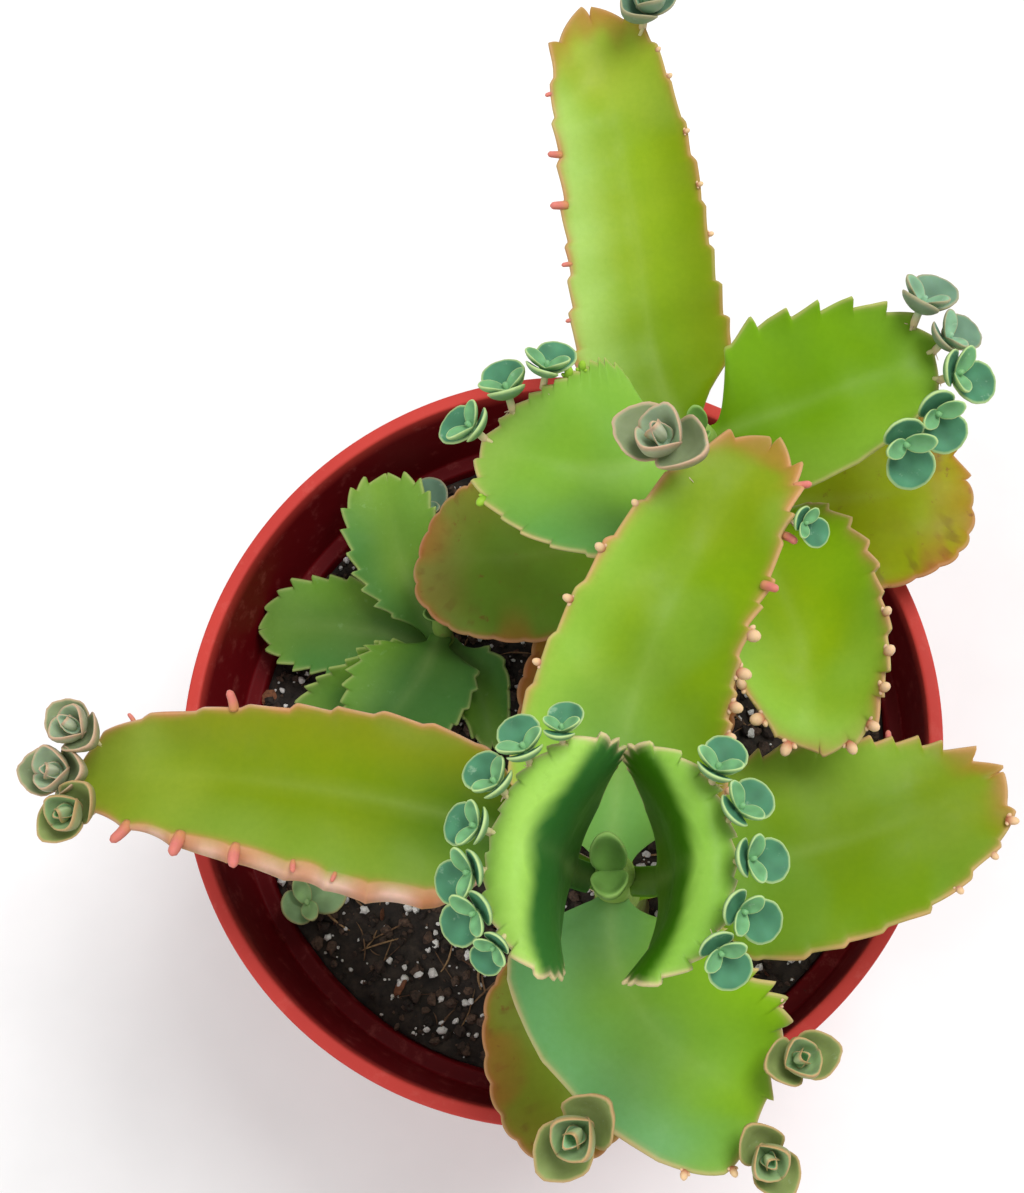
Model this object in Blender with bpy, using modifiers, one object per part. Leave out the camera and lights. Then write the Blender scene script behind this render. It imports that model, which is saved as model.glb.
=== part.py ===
# Mother of thousands in a plastic nursery pot: a pot, its soil, three stems, their leaves, the
# plantlets that grow on the leaf margins, and seedlings on the soil.
# Lengths are in millimetres and angles in degrees; MM turns lengths into metres.
# The origin is the centre of the pot's base, +Z is up.

from math import cos, pi, radians, sin
from typing import NamedTuple

import bmesh
import bpy
from mathutils import Matrix, Vector

MM = 0.001
GAP = 0.3

# Pot
POT_HEIGHT = 110.0
RIM_RADIUS = 75.0
LIP_WIDTH = 2.8
COLLAR_HEIGHT = 25.0
COLLAR_FOOT_RADIUS = 73.2
SHOULDER_RADIUS = 68.6
BASE_RADIUS = 51.0
WALL = 2.3
FLOOR_THICKNESS = 3.0
LEDGE_HEIGHT = 88.0
LEDGE_OUTER_RADIUS = 69.5
POT_SIDES = 48
DRAIN_HOLES = 6
DRAIN_RADIUS = 4.0
DRAIN_RING_RADIUS = 36.0

# Soil
SOIL_EDGE_HEIGHT = 86.5
SOIL_CROWN = 1.0

# Leaves
LEAF_THICKNESS = 2.0
PETIOLE_WIDTH = 4.0
LEAF_ROWS = 9
LEAF_COLUMNS = 4
PETIOLE_ROWS = 2
TIP_CROWDING = 1.6
NARROWEST_SHARE = 0.26
STEM_CLEARANCE = 0.72

# Plantlets, in shares of their own size across
PLANTLET_DISC = 0.34
PLANTLET_DISC_THICKNESS = 0.075
PLANTLET_STALK = 0.07


class Stem(NamedTuple):
    """A stem from its foot in the soil to its top, each (x, y, height), and its two radii."""

    foot: tuple
    top: tuple
    foot_radius: float
    top_radius: float


class Leaf(NamedTuple):
    """A leaf: where it leaves its stem, the headings and pitches of its midrib, and its blade.

    heading and pitch list the midrib's direction at even steps from the stem to the tip.
    cup is how far the margins are turned up and roll tips the blade to one side. widest is
    where along the blade the width peaks, base is the width at the foot of the blade as a
    share of it, taper is the share of it lost by the tip, and blunt is how square the tip is.
    wrap makes the blade follow a round wall, whose upright axis is that far from the stem's.
    """

    stem: str
    height: float
    heading: tuple
    pitch: tuple
    petiole: float
    blade: float
    width: float
    cup: float
    roll: float = 0.0
    widest: float = 0.3
    base: float = 0.75
    taper: float = 0.2
    blunt: float = 3.0
    wrap: tuple = ()


class Plantlet(NamedTuple):
    """A plantlet on a leaf's margin: which side, how far along the blade, and its size across.

    off is how far its foot is from the margin.
    """

    leaf: str
    side: int
    along: float
    size: float
    older: bool = False
    off: float = 1.0


STEMS = {
    "centre_stem": Stem((12, -32, 85), (16, -37, 180), 4.5, 2.6),
    "back_stem": Stem((33, 50, 85), (31, 43, 156), 4.2, 2.4),
    "small_stem": Stem((-25, 17, 85), (-23, 25, 108), 2.4, 1.6),
}

LEAVES = {
    "centre_leaf_top_left": Leaf(
        "centre_stem", 170, (180, 173, 166, 164), (70, 86, 89, 89, 66, -50), 9, 30, 36, 1,
        base=0.5, widest=0.75, taper=0.0, blunt=1.9, wrap=(18.8, -7.3),
    ),
    "centre_leaf_top_right": Leaf(
        "centre_stem", 170, (-12, -4, 2, 2), (50, 66, 78, 84, 66, -50), 9, 28, 38, 1,
        base=0.5, widest=0.75, taper=0.0, blunt=1.9, wrap=(-8.7, -1.6),
    ),
    "centre_leaf_back": Leaf(
        "centre_stem", 156, (90, 72, 58, 56), (24, 12, 2, -8), 6, 67, 38, 38,
        base=0.95, widest=0.1, taper=0.4, blunt=8,
    ),
    "centre_leaf_front": Leaf(
        "centre_stem", 156, (-98, -61, -36, -20), (16, 0, -14, -28), 5, 41, 35, 30,
        base=0.95, widest=0.2, taper=0.1, blunt=10,
    ),
    "centre_leaf_left": Leaf(
        "centre_stem", 140, (150, 166, 172, 182), (4, 0, -4, -8), 18, 81, 32, 34,
        base=0.78, widest=0.3, taper=0.3, blunt=7,
    ),
    "centre_leaf_right": Leaf(
        "centre_stem", 136, (10, 10, 17, 36), (8, 2, -4, -10), 12, 53, 36, 22,
        roll=-10, base=0.85, widest=0.25, taper=0.1, blunt=2.6,
    ),
    "centre_leaf_low_front": Leaf(
        "centre_stem", 114, (-128, -104, -84, -66), (18, 6, 0, -6), 10, 35, 29, 16,
        widest=0.35, blunt=4,
    ),
    "centre_leaf_low_back": Leaf(
        "centre_stem", 104, (92, 86, 80, 74), (10, 6, 2, 0), 10, 46, 42, 14,
        base=0.6, widest=0.55, blunt=4,
    ),
    "back_leaf_top_left": Leaf(
        "back_stem", 150, (210, 190, 166, 148), (24, 14, 4, 0), 3, 34, 38, 38,
        base=0.9, widest=0.35, taper=0.25, blunt=2.8,
    ),
    "back_leaf_top_right": Leaf(
        "back_stem", 150, (14, 16, 20, 24), (18, 8, 2, -4), 4, 36, 31, 44,
        roll=8, base=0.85, widest=0.3, taper=0.15,
    ),
    "back_leaf_far": Leaf(
        "back_stem", 130, (120, 94, 99, 104), (14, 14, 12, 8), 10, 84, 30, 36,
        base=0.85, widest=0.12, taper=0.2, blunt=10,
    ),
    "back_leaf_near": Leaf(
        "back_stem", 130, (-64, -66, -76, -92), (34, 24, 12, 2), 14, 47, 34, 58,
        base=0.7, widest=0.45, taper=0.1,
    ),
    "back_leaf_low_left": Leaf(
        "back_stem", 112, (211, 199, 184, 168), (14, 8, 0, -4), 14, 43, 35, 16,
        widest=0.5, taper=0.1,
    ),
    "back_leaf_low_right": Leaf(
        "back_stem", 112, (-16, -6, 6, 14), (18, 10, 0, -6), 8, 38, 38, 16,
        widest=0.5, taper=0.1,
    ),
    "small_leaf_back": Leaf(
        "small_stem", 98, (122, 112, 102, 92), (22, 16, 10, 4), 4, 30, 19, 26,
        base=0.5, widest=0.6, taper=0.1, blunt=4,
    ),
    "small_leaf_left": Leaf(
        "small_stem", 92, (150, 166, 178, 186), (8, 6, 2, 0), 6, 31, 20, 18,
        base=0.6, widest=0.5, taper=0.1,
    ),
    "small_leaf_inner_left": Leaf(
        "small_stem", 97, (225, 212, 202, 196), (20, 10, 4, 2), 3, 27, 18, 30,
        roll=-25, widest=0.4, taper=0.1,
    ),
    "small_leaf_inner_front": Leaf(
        "small_stem", 103, (256, 246, 236, 230), (34, 18, 6, 0), 3, 26, 24, 30,
        widest=0.4, taper=0.1,
    ),
    "small_leaf_right": Leaf(
        "small_stem", 99, (-48, -60, -72, -84), (22, 14, 6, -2), 3, 20, 14, 70,
        base=0.6, widest=0.4, taper=0.1,
    ),
}

PLANTLETS = {
    "plantlet_top_left_1": Plantlet("centre_leaf_top_left", -1, 0.907, 5.0),
    "plantlet_top_left_2": Plantlet("centre_leaf_top_left", -1, 0.964, 5.5, off=1.8),
    "plantlet_top_left_3": Plantlet("centre_leaf_top_left", -1, 1.0, 5.0, off=2.9),
    "plantlet_top_left_4": Plantlet("centre_leaf_top_left", 0, 1.0, 5.5, off=2.2),
    "plantlet_top_left_5": Plantlet("centre_leaf_top_left", 1, 1.0, 5.0, off=2.9),
    "plantlet_top_left_6": Plantlet("centre_leaf_top_left", 1, 0.964, 5.5, off=1.8),
    "plantlet_top_left_7": Plantlet("centre_leaf_top_left", 1, 0.907, 5.0),
    "plantlet_top_right_1": Plantlet("centre_leaf_top_right", 1, 0.963, 5.0, off=1.8),
    "plantlet_top_right_2": Plantlet("centre_leaf_top_right", 1, 1.0, 5.0, off=2.9),
    "plantlet_top_right_3": Plantlet("centre_leaf_top_right", 0, 1.0, 5.5, off=2.2),
    "plantlet_top_right_4": Plantlet("centre_leaf_top_right", -1, 1.0, 5.0, off=2.9),
    "plantlet_top_right_5": Plantlet("centre_leaf_top_right", -1, 0.963, 5.5, off=1.8),
    "plantlet_back_1": Plantlet("centre_leaf_back", 1, 0.84, 12.0, True),
    "plantlet_back_2": Plantlet("centre_leaf_back", -1, 0.84, 8.0),
    "plantlet_front_1": Plantlet("centre_leaf_front", -1, 0.5, 11.0, True),
    "plantlet_front_2": Plantlet("centre_leaf_front", 1, 1.0, 9.0, True, 2.6),
    "plantlet_front_3": Plantlet("centre_leaf_front", -1, 1.0, 7.5, off=2.4),
    "plantlet_left_1": Plantlet("centre_leaf_left", -1, 0.96, 8.0, True),
    "plantlet_left_2": Plantlet("centre_leaf_left", 0, 1.0, 7.5, True),
    "plantlet_left_3": Plantlet("centre_leaf_left", 1, 0.96, 7.5, True),
    "plantlet_back_left_1": Plantlet("back_leaf_top_left", -1, 0.8, 6.5),
    "plantlet_back_left_2": Plantlet("back_leaf_top_left", -1, 0.95, 7.0),
    "plantlet_back_left_3": Plantlet("back_leaf_top_left", 0, 1.0, 7.0),
    "plantlet_back_right_1": Plantlet("back_leaf_top_right", 1, 0.96, 7.5),
    "plantlet_back_right_2": Plantlet("back_leaf_top_right", 0, 1.0, 6.5),
    "plantlet_back_right_3": Plantlet("back_leaf_top_right", -1, 0.96, 7.0),
    "plantlet_back_right_4": Plantlet("back_leaf_top_right", -1, 0.82, 7.0),
    "plantlet_back_right_5": Plantlet("back_leaf_top_right", -1, 0.64, 7.5),
    "plantlet_far_1": Plantlet("back_leaf_far", -1, 0.95, 9.0, True),
}

# Seedlings: (x, y) on the soil, size across, turn
SEEDLINGS = {
    "seedling_left": ((-53, -31), 10.0, 30),
    "seedling_back": ((-30, 53), 9.0, 70),
    "seedling_middle": ((-4, 17), 7.0, 10),
    "seedling_centre": ((22, -48), 7.0, 50),
}

MATERIALS = {
    "pot_plastic": ((0.42, 0.055, 0.042), 0.45),
    "soil": ((0.018, 0.014, 0.011), 0.95),
    "stem": ((0.17, 0.24, 0.06), 0.55),
    "leaf": ((0.20, 0.36, 0.035), 0.42),
    "leaf_young": ((0.16, 0.34, 0.07), 0.42),
    "leaf_old": ((0.25, 0.20, 0.03), 0.5),
    "plantlet": ((0.11, 0.27, 0.17), 0.5),
}


def clear_scene():
    """Removes everything that the scene starts with."""
    for obj in list(bpy.data.objects):
        bpy.data.objects.remove(obj, do_unlink=True)


def new_collection(name):
    """A collection of the scene."""
    collection = bpy.data.collections.new(name)
    bpy.context.scene.collection.children.link(collection)
    return collection


def material(name):
    """A plain surface with the colour and roughness named in MATERIALS."""
    made = bpy.data.materials.get(name)
    if made is None:
        colour, roughness = MATERIALS[name]
        made = bpy.data.materials.new(name)
        made.use_nodes = True
        shader = made.node_tree.nodes["Principled BSDF"]
        shader.inputs["Base Color"].default_value = (*colour, 1.0)
        shader.inputs["Roughness"].default_value = roughness
        made.diffuse_color = (*colour, 1.0)
    return made


def add_object(name, mesh, collection, surface=None):
    """An object that shows a mesh, with its material."""
    obj = bpy.data.objects.new(name, mesh)
    collection.objects.link(obj)
    if surface and not mesh.materials:
        mesh.materials.append(material(surface))
    return obj


def smooth(mesh):
    """Shades a round mesh smooth and keeps its sharp edges."""
    mesh.shade_smooth()
    mesh.set_sharp_from_angle(angle=radians(40))


def profile_mesh(name, points):
    """A turned shape's half outline, from (radius, height) points in millimetres."""
    mesh = bpy.data.meshes.new(name)
    corners = [(radius * MM, 0.0, height * MM) for radius, height in points]
    mesh.from_pydata(corners, [(i, i + 1) for i in range(len(corners) - 1)], [])
    return mesh


def turn(obj):
    """Turns the object's profile once round the Z axis."""
    screw = obj.modifiers.new("turned", "SCREW")
    screw.steps = POT_SIDES
    screw.render_steps = POT_SIDES
    screw.use_merge_vertices = True
    screw.merge_threshold = 0.0001
    return screw


def inner_wall_radius(height):
    """The pot's inside radius between its floor and the ledge."""
    share = (height - FLOOR_THICKNESS) / (LEDGE_HEIGHT - FLOOR_THICKNESS)
    low = BASE_RADIUS - WALL
    return low + share * (SHOULDER_RADIUS - WALL - low)


def pot_profile():
    """The pot's outline from the centre of its top side, down its inside and round."""
    collar_foot = POT_HEIGHT - COLLAR_HEIGHT
    inside = [
        (0.0, FLOOR_THICKNESS),
        (inner_wall_radius(FLOOR_THICKNESS), FLOOR_THICKNESS),
        (inner_wall_radius(LEDGE_HEIGHT), LEDGE_HEIGHT),
        (LEDGE_OUTER_RADIUS, LEDGE_HEIGHT),
        (RIM_RADIUS - LIP_WIDTH, POT_HEIGHT),
    ]
    outside = [
        (RIM_RADIUS, POT_HEIGHT),
        (COLLAR_FOOT_RADIUS, collar_foot),
        (SHOULDER_RADIUS, collar_foot - 1.5),
        (BASE_RADIUS, 0.0),
        (0.0, 0.0),
    ]
    return inside + outside


def drain_cutter(cutters):
    """All the pot's drain holes, as one mesh of upright cylinders."""
    bm = bmesh.new()
    for index in range(DRAIN_HOLES):
        angle = 2 * pi * index / DRAIN_HOLES
        place = Matrix.Translation(
            (
                DRAIN_RING_RADIUS * MM * cos(angle),
                DRAIN_RING_RADIUS * MM * sin(angle),
                FLOOR_THICKNESS * MM / 2,
            )
        )
        bmesh.ops.create_cone(
            bm,
            cap_ends=True,
            segments=12,
            radius1=DRAIN_RADIUS * MM,
            radius2=DRAIN_RADIUS * MM,
            depth=3 * FLOOR_THICKNESS * MM,
            matrix=place,
        )
    mesh = bpy.data.meshes.new("drain_cutter")
    bm.to_mesh(mesh)
    bm.free()
    cutter = add_object("drain_cutter", mesh, cutters)
    cutter.hide_render = True
    cutter.display_type = "WIRE"
    return cutter


def build_pot(parts, cutters):
    """The pot: tapered body, thick collar, ledge inside, and holes in its floor."""
    pot = add_object("pot", profile_mesh("pot", pot_profile()), parts, "pot_plastic")
    turn(pot)
    holes = pot.modifiers.new("drain holes", "BOOLEAN")
    holes.operation = "DIFFERENCE"
    holes.solver = "EXACT"
    holes.object = drain_cutter(cutters)


def build_soil(parts, cutters):
    """The soil: it fills the pot to just under the ledge, and each stem stands in a hole in it."""
    floor = FLOOR_THICKNESS + GAP
    clearance = 1.5 * GAP
    profile = [
        (0.0, SOIL_EDGE_HEIGHT + SOIL_CROWN),
        (30.0, SOIL_EDGE_HEIGHT + SOIL_CROWN),
        (inner_wall_radius(SOIL_EDGE_HEIGHT) - clearance, SOIL_EDGE_HEIGHT),
        (inner_wall_radius(floor) - clearance, floor),
        (0.0, floor),
    ]
    soil = add_object("soil", profile_mesh("soil", profile), parts, "soil")
    turn(soil)
    for name, stem in STEMS.items():
        socket = stem_mesh(f"{name}_socket", stem, GAP, reach=6.0)
        cutter = add_object(f"{name}_socket", socket, cutters)
        cutter.hide_render = True
        cutter.display_type = "WIRE"
        hole = soil.modifiers.new(f"hole for {name}", "BOOLEAN")
        hole.operation = "DIFFERENCE"
        hole.solver = "EXACT"
        hole.object = cutter


def stem_axis(stem, height):
    """The point on a stem's centre line at a height."""
    foot = Vector(stem.foot)
    top = Vector(stem.top)
    return foot.lerp(top, (height - foot.z) / (top.z - foot.z))


def stem_radius(stem, height):
    """A stem's radius at a height."""
    share = (height - stem.foot[2]) / (stem.top[2] - stem.foot[2])
    return stem.foot_radius + share * (stem.top_radius - stem.foot_radius)


def stem_mesh(name, stem, extra, reach=0.0):
    """A tapered round stem, made wider all round by extra and longer at both ends by reach."""
    foot = Vector(stem.foot)
    top = Vector(stem.top)
    along = (top - foot).normalized()
    foot = foot - along * extra
    top = top + along * reach
    turn_up = Vector((0, 0, 1)).rotation_difference(along).to_matrix().to_4x4()
    place = Matrix.Translation((foot + top) / 2 * MM) @ turn_up
    bm = bmesh.new()
    bmesh.ops.create_cone(
        bm,
        cap_ends=True,
        segments=12,
        radius1=(stem.foot_radius + extra) * MM,
        radius2=(stem.top_radius + extra) * MM,
        depth=(top - foot).length * MM,
        matrix=place,
    )
    mesh = bpy.data.meshes.new(name)
    bm.to_mesh(mesh)
    bm.free()
    return mesh


def build_stems(parts):
    """The stems, each standing in the soil."""
    for name, stem in STEMS.items():
        mesh = stem_mesh(name, stem, 0.0)
        smooth(mesh)
        add_object(name, mesh, parts, "stem")


def along_list(values, share):
    """The value at a share of the way through values that are evenly spaced."""
    place = share * (len(values) - 1)
    index = min(int(place), len(values) - 2)
    return values[index] + (values[index + 1] - values[index]) * (place - index)


def width_share(leaf, share):
    """The blade's width at a share of its length, as a share of its greatest width."""
    if share < leaf.widest:
        return leaf.base + (1 - leaf.base) * sin(pi / 2 * share / leaf.widest)
    past = (share - leaf.widest) / (1 - leaf.widest)
    return (1 - leaf.taper * past) * max(1 - past**leaf.blunt, 0.0) ** 0.5


def midrib(leaf):
    """The midrib as rows of (point, frame, half width, share along the blade)."""
    stem = STEMS[leaf.stem]
    length = leaf.petiole + leaf.blade
    first = radians(leaf.heading[0])
    outward = Vector((cos(first), sin(first), 0))
    off_stem = STEM_CLEARANCE + LEAF_THICKNESS / 2 * sin(radians(leaf.pitch[0]))
    reach = stem_radius(stem, leaf.height) + off_stem
    point = stem_axis(stem, leaf.height) + outward * reach
    petiole_shares = [leaf.petiole / length * i / PETIOLE_ROWS for i in range(PETIOLE_ROWS)]
    blade_shares = [1 - (1 - i / LEAF_ROWS) ** TIP_CROWDING for i in range(LEAF_ROWS + 1)]
    shares = petiole_shares + [(leaf.petiole + leaf.blade * s) / length for s in blade_shares]
    rows = []
    done = 0.0
    for share in shares:
        while done < share - 1e-9:
            step = min(0.01, share - done)
            point = point + leaf_frame(leaf, done + step / 2)[0] * step * length
            done += step
        along = (share * length - leaf.petiole) / leaf.blade
        if along < 0:
            half = PETIOLE_WIDTH / 2
        else:
            half = max(width_share(leaf, along), NARROWEST_SHARE) * leaf.width / 2
        rows.append((point.copy(), leaf_frame(leaf, share), half, along))
    return rows


def leaf_frame(leaf, share):
    """The midrib's direction, its left side and its upper side, at a share of its length."""
    heading = radians(along_list(leaf.heading, share))
    pitch = radians(along_list(leaf.pitch, share))
    ahead = Vector((cos(heading) * cos(pitch), sin(heading) * cos(pitch), sin(pitch)))
    left = Vector((-sin(heading), cos(heading), 0))
    left = Matrix.Rotation(radians(leaf.roll), 3, ahead) @ left
    return ahead, left, ahead.cross(left)


def across(leaf, row, side):
    """A point on the leaf's middle surface: side is -1 at its right margin and 1 at its left."""
    point, (_, left, above), half, along = row
    if leaf.wrap:
        return wrapped(leaf, point, half * side)
    turned = radians(leaf.cup) * min(max(along + 0.3, 0.1), 1.0)
    bend = turned * side
    return point + (left * sin(bend) + above * (1 - cos(bend))) * (half / turned)


def wrapped(leaf, point, offset):
    """A midrib point carried sideways round the upright axis that the blade wraps."""
    axis = stem_axis(STEMS[leaf.stem], leaf.height) + Vector((*leaf.wrap, 0))
    axis.z = point.z
    arm = point - axis
    return axis + Matrix.Rotation(offset / arm.length, 3, "Z") @ arm


def build_leaf(name, leaf, parts, surface):
    """A leaf: a sheet lofted along its midrib, and given its thickness."""
    sides = [2 * i / LEAF_COLUMNS - 1 for i in range(LEAF_COLUMNS + 1)]
    bm = bmesh.new()
    grid = [
        [bm.verts.new(across(leaf, row, side) * MM) for side in sides] for row in midrib(leaf)
    ]
    for near, far in zip(grid, grid[1:]):
        for i in range(LEAF_COLUMNS):
            bm.faces.new((near[i], far[i], far[i + 1], near[i + 1]))
    bmesh.ops.recalc_face_normals(bm, faces=bm.faces)
    mesh = bpy.data.meshes.new(name)
    bm.to_mesh(mesh)
    bm.free()
    smooth(mesh)
    obj = add_object(name, mesh, parts, surface)
    skin = obj.modifiers.new("thickness", "SOLIDIFY")
    skin.thickness = LEAF_THICKNESS * MM
    skin.offset = 0.0


def joined_mesh(name, meshes, cutters):
    """One solid made of several overlapping ones."""
    first, *others = [add_object(f"{name}_{i}", mesh, cutters) for i, mesh in enumerate(meshes)]
    for other in others:
        union = first.modifiers.new(other.name, "BOOLEAN")
        union.operation = "UNION"
        union.solver = "EXACT"
        union.object = other
    bpy.context.view_layer.update()
    graph = bpy.context.evaluated_depsgraph_get()
    mesh = bpy.data.meshes.new_from_object(first.evaluated_get(graph))
    for obj in [first, *others]:
        bpy.data.objects.remove(obj, do_unlink=True)
    mesh.name = name
    return mesh


def disc_mesh(turn_angle, reach, lift, tilt, radius, sides):
    """One round plantlet leaf, a flat ball of unit size, placed out and up from the axis."""
    bm = bmesh.new()
    place = (
        Matrix.Rotation(radians(turn_angle), 4, "Z")
        @ Matrix.Translation((reach, 0, lift))
        @ Matrix.Rotation(radians(-tilt), 4, "Y")
        @ Matrix.Diagonal((radius * 1.15, radius, PLANTLET_DISC_THICKNESS, 1))
    )
    bmesh.ops.create_uvsphere(bm, u_segments=sides, v_segments=3, radius=1, matrix=place)
    mesh = bpy.data.meshes.new("disc")
    bm.to_mesh(mesh)
    bm.free()
    return mesh


def stalk_mesh(height):
    """A plantlet's short stalk, of unit size."""
    bm = bmesh.new()
    bmesh.ops.create_cone(
        bm,
        cap_ends=True,
        segments=6,
        radius1=PLANTLET_STALK,
        radius2=PLANTLET_STALK * 1.2,
        depth=height,
        matrix=Matrix.Translation((0, 0, height / 2)),
    )
    mesh = bpy.data.meshes.new("stalk")
    bm.to_mesh(mesh)
    bm.free()
    return mesh


def plantlet_mesh(name, pairs, cutters):
    """A rosette one unit across: a stalk with pairs of round leaves, each pair crosswise."""
    meshes = [stalk_mesh(0.24 + 0.14 * pairs)]
    for pair in range(pairs):
        radius = PLANTLET_DISC * (1 - 0.36 * pair)
        reach = radius * 0.85
        lift = 0.3 + 0.13 * pair
        tilt = 24 + 22 * pair
        sides = 6 if pair else 8
        for turn_angle in (90 * pair, 90 * pair + 180):
            meshes.append(disc_mesh(turn_angle, reach, lift, tilt, radius, sides))
    mesh = joined_mesh(name, meshes, cutters)
    mesh.materials.append(material("plantlet"))
    smooth(mesh)
    return mesh


def margin(leaf, side, share):
    """The margin point at a share of the blade's length, and the way out of the blade there."""
    rows = [row for row in midrib(leaf) if row[3] >= 0]
    index = max(i for i, row in enumerate(rows[:-1]) if row[3] <= share)
    near, far = rows[index], rows[index + 1]
    part = (share - near[3]) / (far[3] - near[3])
    point = across(leaf, near, side).lerp(across(leaf, far, side), part)
    inside = rows[max(index - 1, 0)][0]
    return point, (point - inside).normalized()


def place_plantlets(parts, young, older):
    """The plantlets, each on its stalk just off the margin that grew it."""
    for name, plantlet in PLANTLETS.items():
        leaf = LEAVES[plantlet.leaf]
        point, outward = margin(leaf, plantlet.side, plantlet.along)
        flat = Vector((outward.x, outward.y, 0)).normalized()
        axis = (flat * sin(radians(38)) + Vector((0, 0, cos(radians(38))))).normalized()
        sideways = axis.cross(flat).normalized()
        ahead = sideways.cross(axis)
        frame = Matrix((ahead, sideways, axis)).transposed().to_4x4()
        foot = point + outward * plantlet.off
        obj = add_object(name, older if plantlet.older else young, parts)
        obj.matrix_world = (
            Matrix.Translation(foot * MM)
            @ frame
            @ Matrix.Diagonal((*[plantlet.size * MM] * 3, 1))
        )


def soil_top(x, y):
    """The height of the soil's surface at a place."""
    radius = (x * x + y * y) ** 0.5
    flat = 30.0
    edge = inner_wall_radius(SOIL_EDGE_HEIGHT)
    fall = max(radius - flat, 0) / (edge - flat)
    return SOIL_EDGE_HEIGHT + SOIL_CROWN * (1 - fall)


def place_seedlings(parts, young):
    """The seedlings, each standing on the soil."""
    for name, ((x, y), size, angle) in SEEDLINGS.items():
        obj = add_object(name, young, parts)
        obj.matrix_world = (
            Matrix.Translation(Vector((x, y, soil_top(x, y) + GAP)) * MM)
            @ Matrix.Rotation(radians(angle), 4, "Z")
            @ Matrix.Diagonal((*[size * MM] * 3, 1))
        )


def leaf_surface(name):
    """The low leaves are old and brownish, the small plant's are young."""
    if "low" in name:
        return "leaf_old"
    return "leaf_young" if name.startswith("small") else "leaf"


def main():
    clear_scene()
    parts = new_collection("mother_of_thousands")
    cutters = new_collection("cutters")
    build_pot(parts, cutters)
    build_soil(parts, cutters)
    build_stems(parts)
    for name, leaf in LEAVES.items():
        build_leaf(name, leaf, parts, leaf_surface(name))
    young = plantlet_mesh("young_plantlet", 2, cutters)
    older = plantlet_mesh("older_plantlet", 3, cutters)
    place_plantlets(parts, young, older)
    place_seedlings(parts, young)


main()
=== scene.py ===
# Looks for the mother of thousands in its nursery pot: fleshy toothed leaves, the plantlets on
# their margins, jointed stems, loose potting mix and a moulded plastic pot.
# The tables are in millimetres and degrees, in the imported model's frame. MM makes metres.

from typing import NamedTuple

import bmesh
import bpy
import numpy as np
from mathutils import Matrix, Vector


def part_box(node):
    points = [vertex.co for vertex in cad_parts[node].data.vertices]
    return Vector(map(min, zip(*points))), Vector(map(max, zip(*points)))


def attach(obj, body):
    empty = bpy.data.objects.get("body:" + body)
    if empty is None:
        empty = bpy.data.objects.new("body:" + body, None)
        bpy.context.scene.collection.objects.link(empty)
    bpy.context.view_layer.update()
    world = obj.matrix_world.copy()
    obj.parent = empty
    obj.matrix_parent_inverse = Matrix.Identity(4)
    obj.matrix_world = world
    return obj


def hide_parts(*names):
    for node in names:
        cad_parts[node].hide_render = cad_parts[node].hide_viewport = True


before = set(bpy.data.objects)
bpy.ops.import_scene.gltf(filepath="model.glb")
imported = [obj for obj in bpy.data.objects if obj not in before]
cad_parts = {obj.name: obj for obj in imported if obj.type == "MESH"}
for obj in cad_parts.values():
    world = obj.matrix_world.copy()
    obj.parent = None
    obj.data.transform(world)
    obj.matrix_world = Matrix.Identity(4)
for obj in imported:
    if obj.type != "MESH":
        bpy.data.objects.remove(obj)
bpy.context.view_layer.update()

MM = 0.001


def rgb(red, green, blue):
    """A colour given as it looks on a screen, from 0 to 255, as linear numbers."""
    share = np.array([red, green, blue], float) / 255
    return np.where(share <= 0.04045, share / 12.92, ((share + 0.055) / 1.055) ** 2.4)


class Stem(NamedTuple):
    """A stem from foot to top, each (x, y, height), with its radii and its node heights."""

    foot: tuple
    top: tuple
    foot_radius: float
    top_radius: float
    joints: tuple


class Leaf(NamedTuple):
    """A leaf's place and shape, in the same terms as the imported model's leaves.

    stem and height say where it grows. heading and pitch turn its midrib, from the stem to the
    tip. petiole and blade are lengths, and width is the blade's. cup is how far the sides fold
    up, and roll tips the leaf to one side. base is the blade's width at the stem as a share,
    widest the place of its full width, and taper and blunt shape the rest. wrap is the place,
    from the stem, of the upright axis that a wrapped leaf curls round.
    """

    stem: str
    height: float
    heading: tuple
    pitch: tuple
    petiole: float
    blade: float
    width: float
    cup: float
    roll: float = 0.0
    widest: float = 0.3
    base: float = 0.75
    taper: float = 0.2
    blunt: float = 3.0
    wrap: tuple = ()


class Look(NamedTuple):
    """A leaf's colours and margins.

    root, middle and tip are the colours along the blade, left and right those of its sides.
    rim is the margin's colour, rim_width how far it reaches in and rim_share how strong it is
    on the right and on the left. teeth is (kind, spacing, depth) for the right and the left.
    buds lists (side, share along, length, kind) for what sprouts between the teeth.
    tip_range is where the tip's colour sets in, bloom is the strength of the paler patches, and
    under is the underside's colour. tooth_range is where along the margin the teeth start,
    tip_boost makes those at the tip taller, and lip is how far the underside stands out past the
    left margin. spots is the strength of an old leaf's spots, wave how far the blade ripples,
    thick the thickness at its middle, and skin the material.
    """

    root: tuple
    middle: tuple
    tip: tuple
    left: tuple
    right: tuple
    rim: tuple = (214, 170, 120)
    rim_width: float = 1.0
    rim_share: tuple = (0.6, 0.6)
    bloom: float = 0.25
    tip_range: tuple = (0.62, 1.0)
    tooth_range: tuple = (0.0, 0.16)
    tip_boost: float = 0.0
    lip: float = 0.0
    under: tuple = (150, 180, 110)
    teeth: tuple = (("serrate", 4.2, 1.2), ("serrate", 4.2, 1.2))
    buds: tuple = ()
    spots: float = 0.0
    wave: float = 0.5
    thick: float = 2.3
    skin: str = "leaf"


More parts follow.
